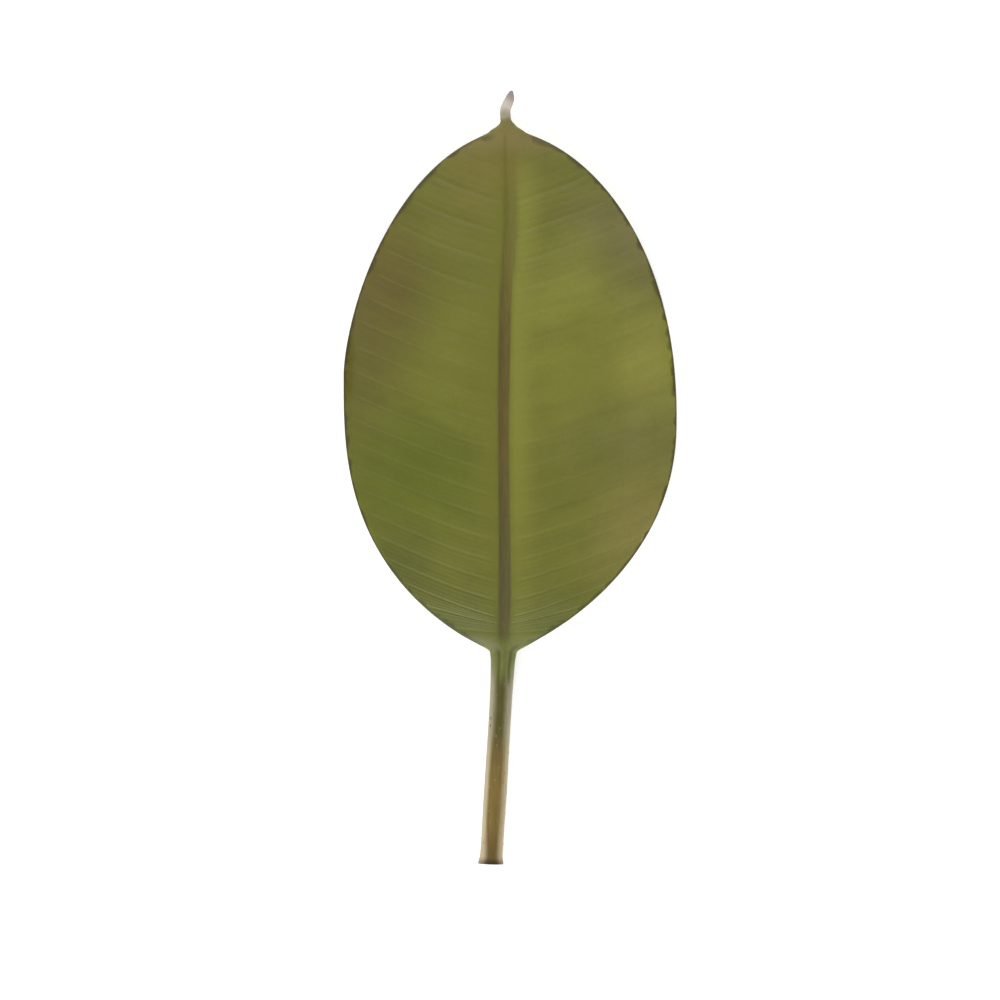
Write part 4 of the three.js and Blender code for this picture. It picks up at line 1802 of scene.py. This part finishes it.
class GeometryTree:
    """A geometry node tree with named inputs, run once on a mesh."""

    def __init__(self, name: str, sizes: dict[str, float]) -> None:
        """Starts the tree.

        Args:
            name: the tree's name.
            sizes: each named input and its value.
        """
        self.tree = bpy.data.node_groups.new(name, "GeometryNodeTree")
        self.bench = Bench(self.tree)
        face = self.tree.interface
        face.new_socket(name="Geometry", in_out="INPUT", socket_type="NodeSocketGeometry")
        face.new_socket(name="Geometry", in_out="OUTPUT", socket_type="NodeSocketGeometry")
        self.values = {}
        for label, value in sizes.items():
            kind = "NodeSocketInt" if isinstance(value, int) else FLOAT
            socket = face.new_socket(name=label, in_out="INPUT", socket_type=kind)
            self.values[socket.identifier] = value
        self.taken = self.bench.node("NodeGroupInput").outputs
        self.given = self.bench.node("NodeGroupOutput")

    def attribute(self, name: str, kind: str = "FLOAT") -> Socket:
        """A named attribute's value."""
        made = self.bench.node("GeometryNodeInputNamedAttribute", {"Name": name}, data_type=kind)
        return made.outputs[0]

    def keep(self, geometry: Socket, name: str, value: Socket) -> Socket:
        """Stores a number on the points.

        Args:
            geometry: what the tree has made.
            name: the attribute's name.
            value: the number.

        Returns:
            The geometry with its attribute.
        """
        made = self.bench.node(
            "GeometryNodeStoreNamedAttribute",
            {"Geometry": geometry, "Name": name, "Value": value},
            data_type="FLOAT", domain="POINT",
        )
        return made.outputs[0]

    def dress(self, geometry: Socket, materials: dict[int | None, bpy.types.Material]) -> None:
        """Ends the tree: realizes instances and sets the materials.

        Args:
            geometry: what the tree has made.
            materials: a material for each zone, or for None where it is the only one.
        """
        real = self.bench.node("GeometryNodeRealizeInstances", {"Geometry": geometry}).outputs[0]
        for zone, material in materials.items():
            inputs = {"Geometry": real, "Material": material}
            if zone is not None:
                same = self.bench.node(
                    "FunctionNodeCompare", data_type="INT", operation="EQUAL"
                )
                self.bench.feed(same.inputs[2], self.attribute("zone", "INT"))
                self.bench.feed(same.inputs[3], int(zone))
                inputs["Selection"] = same.outputs[0]
            real = self.bench.node("GeometryNodeSetMaterial", inputs).outputs[0]
        self.bench.feed(self.given.inputs[0], real)

    def run(self, mesh: bpy.types.Mesh, name: str) -> bpy.types.Object:
        """Runs the tree on a mesh.

        Args:
            mesh: the mesh that the tree is given.
            name: the new object's name.

        Returns:
            A plain object with the result as its mesh, and no modifier.
        """
        worked = bpy.data.objects.new(name, mesh)
        bpy.context.scene.collection.objects.link(worked)
        modifier = worked.modifiers.new("rule", "NODES")
        modifier.node_group = self.tree
        for identifier, value in self.values.items():
            modifier[identifier] = value
        graph = bpy.context.evaluated_depsgraph_get()
        plain = bpy.data.meshes.new_from_object(worked.evaluated_get(graph), depsgraph=graph)
        worked.modifiers.remove(modifier)
        worked.data = plain
        plain.name = name
        plain.shade_smooth()
        return worked


@dataclass(frozen=True)
class VeinRelief:
    """The rule that raises the side veins, wrinkles the stalk and withers the tip."""

    half_width: float = 0.13
    sunk: float = 0.14 * MM
    raised: float = 0.33 * MM
    lesser_half_width: float = 0.06
    lesser_sunk: float = 0.035 * MM
    lesser_raised: float = 0.08 * MM
    collecting_at: float = 0.945
    collecting_width: float = 0.03
    wander: float = 0.16
    stalk_wrinkle: float = 0.09 * MM
    tip_wrinkle: float = 0.16 * MM
    leaves_rib: Span = (0.05, 0.14)
    meets_margin: Span = (0.9, 0.975)
    from_base: Span = (3 * MM, 16 * MM)
    from_tip: Span = (3 * MM, 18 * MM)
    wander_scale: float = 38.0
    fold_stretch: Triple = (1.0, 0.045, 1.0)
    fold_scale: float = 620.0
    folds_by: Span = (-60 * MM, -6 * MM)
    folds_at_blade: float = 0.25
    crease_stretch: Triple = (1.0, 0.5, 1.0)
    crease_scale: float = 900.0
    creases_by: Span = (171 * MM, 176 * MM)

    def tree(self, blade: Blade, materials: dict[int, bpy.types.Material]) -> GeometryTree:
        """Builds the tree.

        Args:
            blade: the blade that the veins run in.
            materials: the finish of each zone.

        Returns:
            The tree, ready to run on the skin's mesh.
        """
        made = GeometryTree("vein relief", {
            "Half Width": self.half_width,
            "Sunk": self.sunk,
            "Raised": self.raised,
            "Lesser Half Width": self.lesser_half_width,
            "Lesser Sunk": self.lesser_sunk,
            "Lesser Raised": self.lesser_raised,
            "Wander": self.wander,
            "Stalk Wrinkle": self.stalk_wrinkle,
            "Tip Wrinkle": self.tip_wrinkle,
        })
        bench, taken = made.bench, made.taken
        place = bench.node("GeometryNodeInputPosition").outputs[0]
        normal = bench.node("GeometryNodeInputNormal").outputs[0]
        share = made.attribute("share")
        along = made.attribute("along")
        upper = made.attribute("upper")
        flat = made.attribute("flat")

        unsteady = bench.math("SUBTRACT", bench.noise(place, self.wander_scale, 2.0), 0.5)
        vein = bench.math("MULTIPLY_ADD", unsteady, taken["Wander"], made.attribute("vein"))
        spacing = blade.length / (blade.vein_pairs + 1)
        station = bench.times(made.attribute("vein"), spacing)
        to_tip = bench.math("SUBTRACT", blade.length, station)
        shown = bench.times(
            bench.ease(station, *self.from_base),
            bench.ease(to_tip, *self.from_tip),
            bench.ease(share, *self.leaves_rib),
            bench.ease(share, *self.meets_margin, 1.0, 0.0),
        )

        side = self._lines(bench, vein, 1.0, taken["Half Width"])
        lesser = self._lines(bench, vein, LESSER_VEINS, taken["Lesser Half Width"])
        lesser = bench.times(lesser, bench.math("SUBTRACT", 1.0, side))
        away = bench.math("ABSOLUTE", bench.math("SUBTRACT", share, self.collecting_at))
        collecting = bench.ease(away, 0.0, self.collecting_width, 0.5, 0.0)
        collecting = bench.times(collecting, flat, flat)
        height = bench.math("MAXIMUM", bench.times(side, shown), collecting)
        small = bench.times(lesser, shown)

        def depth(main: str, minor: str) -> Socket:
            """The sum of both kinds of vein on one face."""
            return bench.math("MULTIPLY_ADD", small, taken[minor], bench.times(height, taken[main]))

        sunk = depth("Sunk", "Lesser Sunk")
        raised = depth("Raised", "Lesser Raised")
        lowered = bench.node("ShaderNodeMix", {0: upper, 2: raised, 3: sunk}).outputs[0]
        axes = bench.node("ShaderNodeSeparateXYZ", {0: place}).outputs
        z = bench.math("MAXIMUM", bench.math("SUBTRACT", axes[2], lowered), 0.0)
        moved = bench.node("ShaderNodeCombineXYZ", {0: axes[0], 1: axes[1], 2: z}).outputs[0]
        shaped = bench.node(
            "GeometryNodeSetPosition", {"Geometry": taken["Geometry"], "Position": moved}
        ).outputs[0]
        shaped = made.keep(shaped, "vein", vein)
        shaped = made.keep(shaped, "vein_show", shown)
        shaped = self._wither(made, shaped, along, flat, normal)
        made.dress(shaped, materials)
        return made

    def _lines(self, bench: Bench, vein: Socket, count: float, width: Socket) -> Socket:
        """Soft lines at each whole number of veins times count."""
        away = bench.math("PINGPONG", bench.times(vein, count), 0.5)
        return bench.ease(away, 0.0, bench.times(width, count), 1.0, 0.0)

    def _wither(
        self, made: GeometryTree, geometry: Socket, along: Socket, flat: Socket, normal: Socket
    ) -> Socket:
        """Wrinkles the stalk lengthwise, more so towards its cut end, and the dry tip.

        Args:
            made: the tree.
            geometry: what it has made.
            along: the place along the leaf.
            flat: how flat the section is.
            normal: the skin's normal.

        Returns:
            The wrinkled geometry.
        """
        bench = made.bench
        place = bench.node("GeometryNodeInputPosition").outputs[0]
        streaks = bench.vector("MULTIPLY", place, self.fold_stretch)
        folds = bench.math("SUBTRACT", bench.noise(streaks, self.fold_scale, 2.0), 0.5)
        stalk = bench.times(
            folds,
            bench.ease(along, *self.folds_by, 1.0, self.folds_at_blade),
            made.taken["Stalk Wrinkle"],
            bench.math("LESS_THAN", along, MID_LEAF),
        )
        crumple = bench.vector("MULTIPLY", place, self.crease_stretch)
        creases = bench.math("SUBTRACT", bench.noise(crumple, self.crease_scale, 2.0), 0.5)
        drying = bench.ease(along, *self.creases_by)
        tip = bench.times(creases, drying, made.taken["Tip Wrinkle"])
        bare = bench.math("SUBTRACT", 1.0, flat)
        out = bench.times(bench.math("ADD", stalk, tip), bare)
        push = bench.node("ShaderNodeVectorMath", {0: normal, "Scale": out}, operation="SCALE")
        moved = bench.node(
            "GeometryNodeSetPosition", {"Geometry": geometry, "Offset": push.outputs[0]}
        ).outputs[0]
        pushed = bench.node("GeometryNodeInputPosition").outputs[0]
        axes = bench.node("ShaderNodeSeparateXYZ", {0: pushed}).outputs
        lifted = bench.node("ShaderNodeCombineXYZ", {
            0: axes[0], 1: axes[1], 2: bench.math("MAXIMUM", axes[2], 0.0),
        }).outputs[0]
        return bench.node(
            "GeometryNodeSetPosition", {"Geometry": moved, "Position": lifted}
        ).outputs[0]


@dataclass(frozen=True)
class StalkPores:
    """The small corky pores that are scattered over the stalk."""

    density: float = 60000.0
    apart: float = 2.3 * MM
    radius: float = 0.23 * MM
    long: float = 1.9
    proud: float = 0.3
    seed: int = 7
    reaches: Span = (-66 * MM, -7 * MM)
    clear: float = 0.8 * MM
    sizes: Span = (0.55, 1.25)

    def tree(self, material: bpy.types.Material) -> GeometryTree:
        """Builds the tree, which scatters the pores over the stalk and keeps only them.

        Args:
            material: the pores' finish.

        Returns:
            The tree, ready to run on the dressed skin's mesh.
        """
        made = GeometryTree("stalk pores", {
            "Density": self.density, "Apart": self.apart, "Radius": self.radius, "Seed": self.seed,
        })
        bench, taken = made.bench, made.taken
        place = bench.node("GeometryNodeInputPosition").outputs[0]
        height = bench.node("ShaderNodeSeparateXYZ", {0: place}).outputs[2]
        along = made.attribute("along")
        chosen = bench.times(
            bench.math("LESS_THAN", along, self.reaches[1]),
            bench.math("GREATER_THAN", along, self.reaches[0]),
            bench.math("GREATER_THAN", height, self.clear),
        )
        spread = bench.node("GeometryNodeDistributePointsOnFaces", {
            "Mesh": taken["Geometry"], "Selection": chosen, "Distance Min": taken["Apart"],
            "Density Max": taken["Density"], "Seed": taken["Seed"],
        }, distribute_method="POISSON")
        ball = bench.node("GeometryNodeMeshIcoSphere", {"Radius": taken["Radius"], "Subdivisions": 2})
        pore = bench.node("GeometryNodeTransform", {
            "Geometry": ball.outputs[0], "Scale": (1.0, self.long, self.proud),
        }).outputs[0]
        size = bench.node(
            "FunctionNodeRandomValue",
            {2: self.sizes[0], 3: self.sizes[1], "Seed": taken["Seed"]}, data_type="FLOAT",
        )
        turned = bench.node("FunctionNodeAlignRotationToVector", {
            "Rotation": spread.outputs["Rotation"], "Vector": (0.0, 1.0, 0.0),
        }, axis="Y", pivot_axis="Z")
        placed = bench.node("GeometryNodeInstanceOnPoints", {
            "Points": spread.outputs["Points"], "Instance": pore,
            "Rotation": turned.outputs[0], "Scale": size.outputs[1],
        }).outputs[0]
        made.dress(placed, {None: material})
        return made


@dataclass(frozen=True)
class Studio:
    """A plain pale table in a light tent, seen from straight above."""

    leaf_in_view: Span = (-3.25 * MM, -7.2 * MM)
    view_width: float = 323.2 * MM
    lens: float = 200.0
    sensor: float = 36.0
    level: float = 5 * MM
    table_half: float = 3.0
    table_colour: Colour = (0.9, 0.9, 0.905, 1.0)
    table_roughness: float = 0.9
    table_reflection: float = 0.1
    table_glow_colour: Colour = (1.0, 0.995, 1.0, 1.0)
    table_glow: float = 0.5
    tent_turns: Span = (0.1, 0.8)
    tent_strengths: Span = (1.1, 0.16)
    lamp_size: float = 0.7
    lamps: tuple[tuple[str, Triple, float], ...] = (
        ("near lamp", (-0.15, -0.9, 0.6), 8.0),
        ("far lamp", (-0.1, 0.9, 0.6), 5.0),
    )

    def table(self) -> bpy.types.Object:
        """The pale surface that the leaf lies on.

        Returns:
            The table.
        """
        half = self.table_half
        mesh = bpy.data.meshes.new("table")
        corners = [(-half, -half, 0), (half, -half, 0), (half, half, 0), (-half, half, 0)]
        mesh.from_pydata(corners, [], [(0, 1, 2, 3)])
        made = bpy.data.objects.new("table", mesh)
        bpy.context.scene.collection.objects.link(made)
        material, _, surface = start_material("pale table")
        settings = {
            "Base Color": self.table_colour,
            "Roughness": self.table_roughness,
            "Specular IOR Level": self.table_reflection,
            "Emission Color": self.table_glow_colour,
            "Emission Strength": self.table_glow,
        }
        for name, value in settings.items():
            surface.inputs[name].default_value = value
        mesh.materials.append(material)
        return made

    def light(self) -> None:
        """A light tent, bright round its sides and dim overhead, and a soft lamp past either end."""
        world = bpy.data.worlds.new("light tent")
        bpy.context.scene.world = world
        world.use_nodes = True
        world.node_tree.nodes.clear()
        bench = Bench(world.node_tree)
        direction = bench.node("ShaderNodeTexCoord").outputs["Generated"]
        up = bench.node("ShaderNodeSeparateXYZ", {0: direction}).outputs[2]
        sides = bench.ease(up, *self.tent_turns, *self.tent_strengths)
        seen = bench.node("ShaderNodeLightPath").outputs["Is Camera Ray"]
        strength = bench.node("ShaderNodeMix", {0: seen, 2: sides, 3: 1.0}).outputs[0]
        glow = bench.node("ShaderNodeBackground", {"Color": (1, 1, 1, 1), "Strength": strength})
        output = bench.node("ShaderNodeOutputWorld")
        bench.feed(output.inputs["Surface"], glow.outputs[0])
        for name, place, power in self.lamps:
            self._lamp(name, place, power)

    def _lamp(self, name: str, place: Triple, power: float) -> None:
        """A soft square lamp that faces the leaf.

        Args:
            name: its name.
            place: where it stands.
            power: its power, in watts.
        """
        data = bpy.data.lights.new(name, "AREA")
        data.shape = "SQUARE"
        data.size = self.lamp_size
        data.energy = power
        made = bpy.data.objects.new(name, data)
        made.location = place
        made.rotation_euler = (-Vector(place)).to_track_quat("-Z", "Y").to_euler()
        bpy.context.scene.collection.objects.link(made)

    def camera(self) -> None:
        """The camera looks straight down, with the drip tip at the top of the picture."""
        data = bpy.data.cameras.new("camera")
        data.lens = self.lens
        data.sensor_width = self.sensor
        made = bpy.data.objects.new("camera", data)
        away = self.view_width * self.lens / self.sensor
        made.location = (*self.leaf_in_view, self.level + away)
        bpy.context.scene.collection.objects.link(made)
        bpy.context.scene.camera = made

    def colours(self) -> None:
        """Shows colours as they are, with no film look."""
        view = bpy.context.scene.view_settings
        view.view_transform = "Standard"
        view.look = "None"


def write_sizes() -> None:
    """Updates the view layer."""
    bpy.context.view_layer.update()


def report(piece: bpy.types.Object) -> None:
    """Logs a finished piece.

    Args:
        piece: the piece.
    """
    mesh = piece.data
    log.info("%s: %d faces, %d materials", piece.name, len(mesh.polygons), len(mesh.materials))


def main() -> None:
    """Builds and dresses the leaf, then sets the table, the light and the camera."""
    logging.basicConfig(level=logging.INFO, format="%(message)s")
    effects = SharedEffects()
    skin = LeafSkin()
    mesh = skin.mesh()
    low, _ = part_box("leaf")
    cut_x, _, cut_z = (skin.cut_middle() - skin.shift).tolist()
    log.info("moved into the frame by %s", skin.shift.tolist())
    log.info("leaf skin drawn: %d points, frame starts at %.4f", len(mesh.vertices), low.x)
    finishes = {
        Zone.UPPER: UpperFinish(effects).make(),
        Zone.UNDER: UnderFinish(effects).make(),
        Zone.STALK: StalkFinish(effects).make(),
        Zone.CUT: CutFinish(effects, middle=(cut_x, cut_z)).make(),
        Zone.TIP: TipFinish(effects).make(),
    }
    leaf = VeinRelief().tree(skin.blade, finishes).run(mesh, "leaf_skin")
    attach(leaf, "root")
    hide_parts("leaf")
    report(leaf)

    pores = StalkPores().tree(PoreFinish(effects).make()).run(leaf.data.copy(), "stalk_pores")
    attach(pores, "root")
    report(pores)

    studio = Studio()
    studio.table()
    studio.light()
    studio.camera()
    studio.colours()
    write_sizes()


if __name__ == "__main__":
    main()
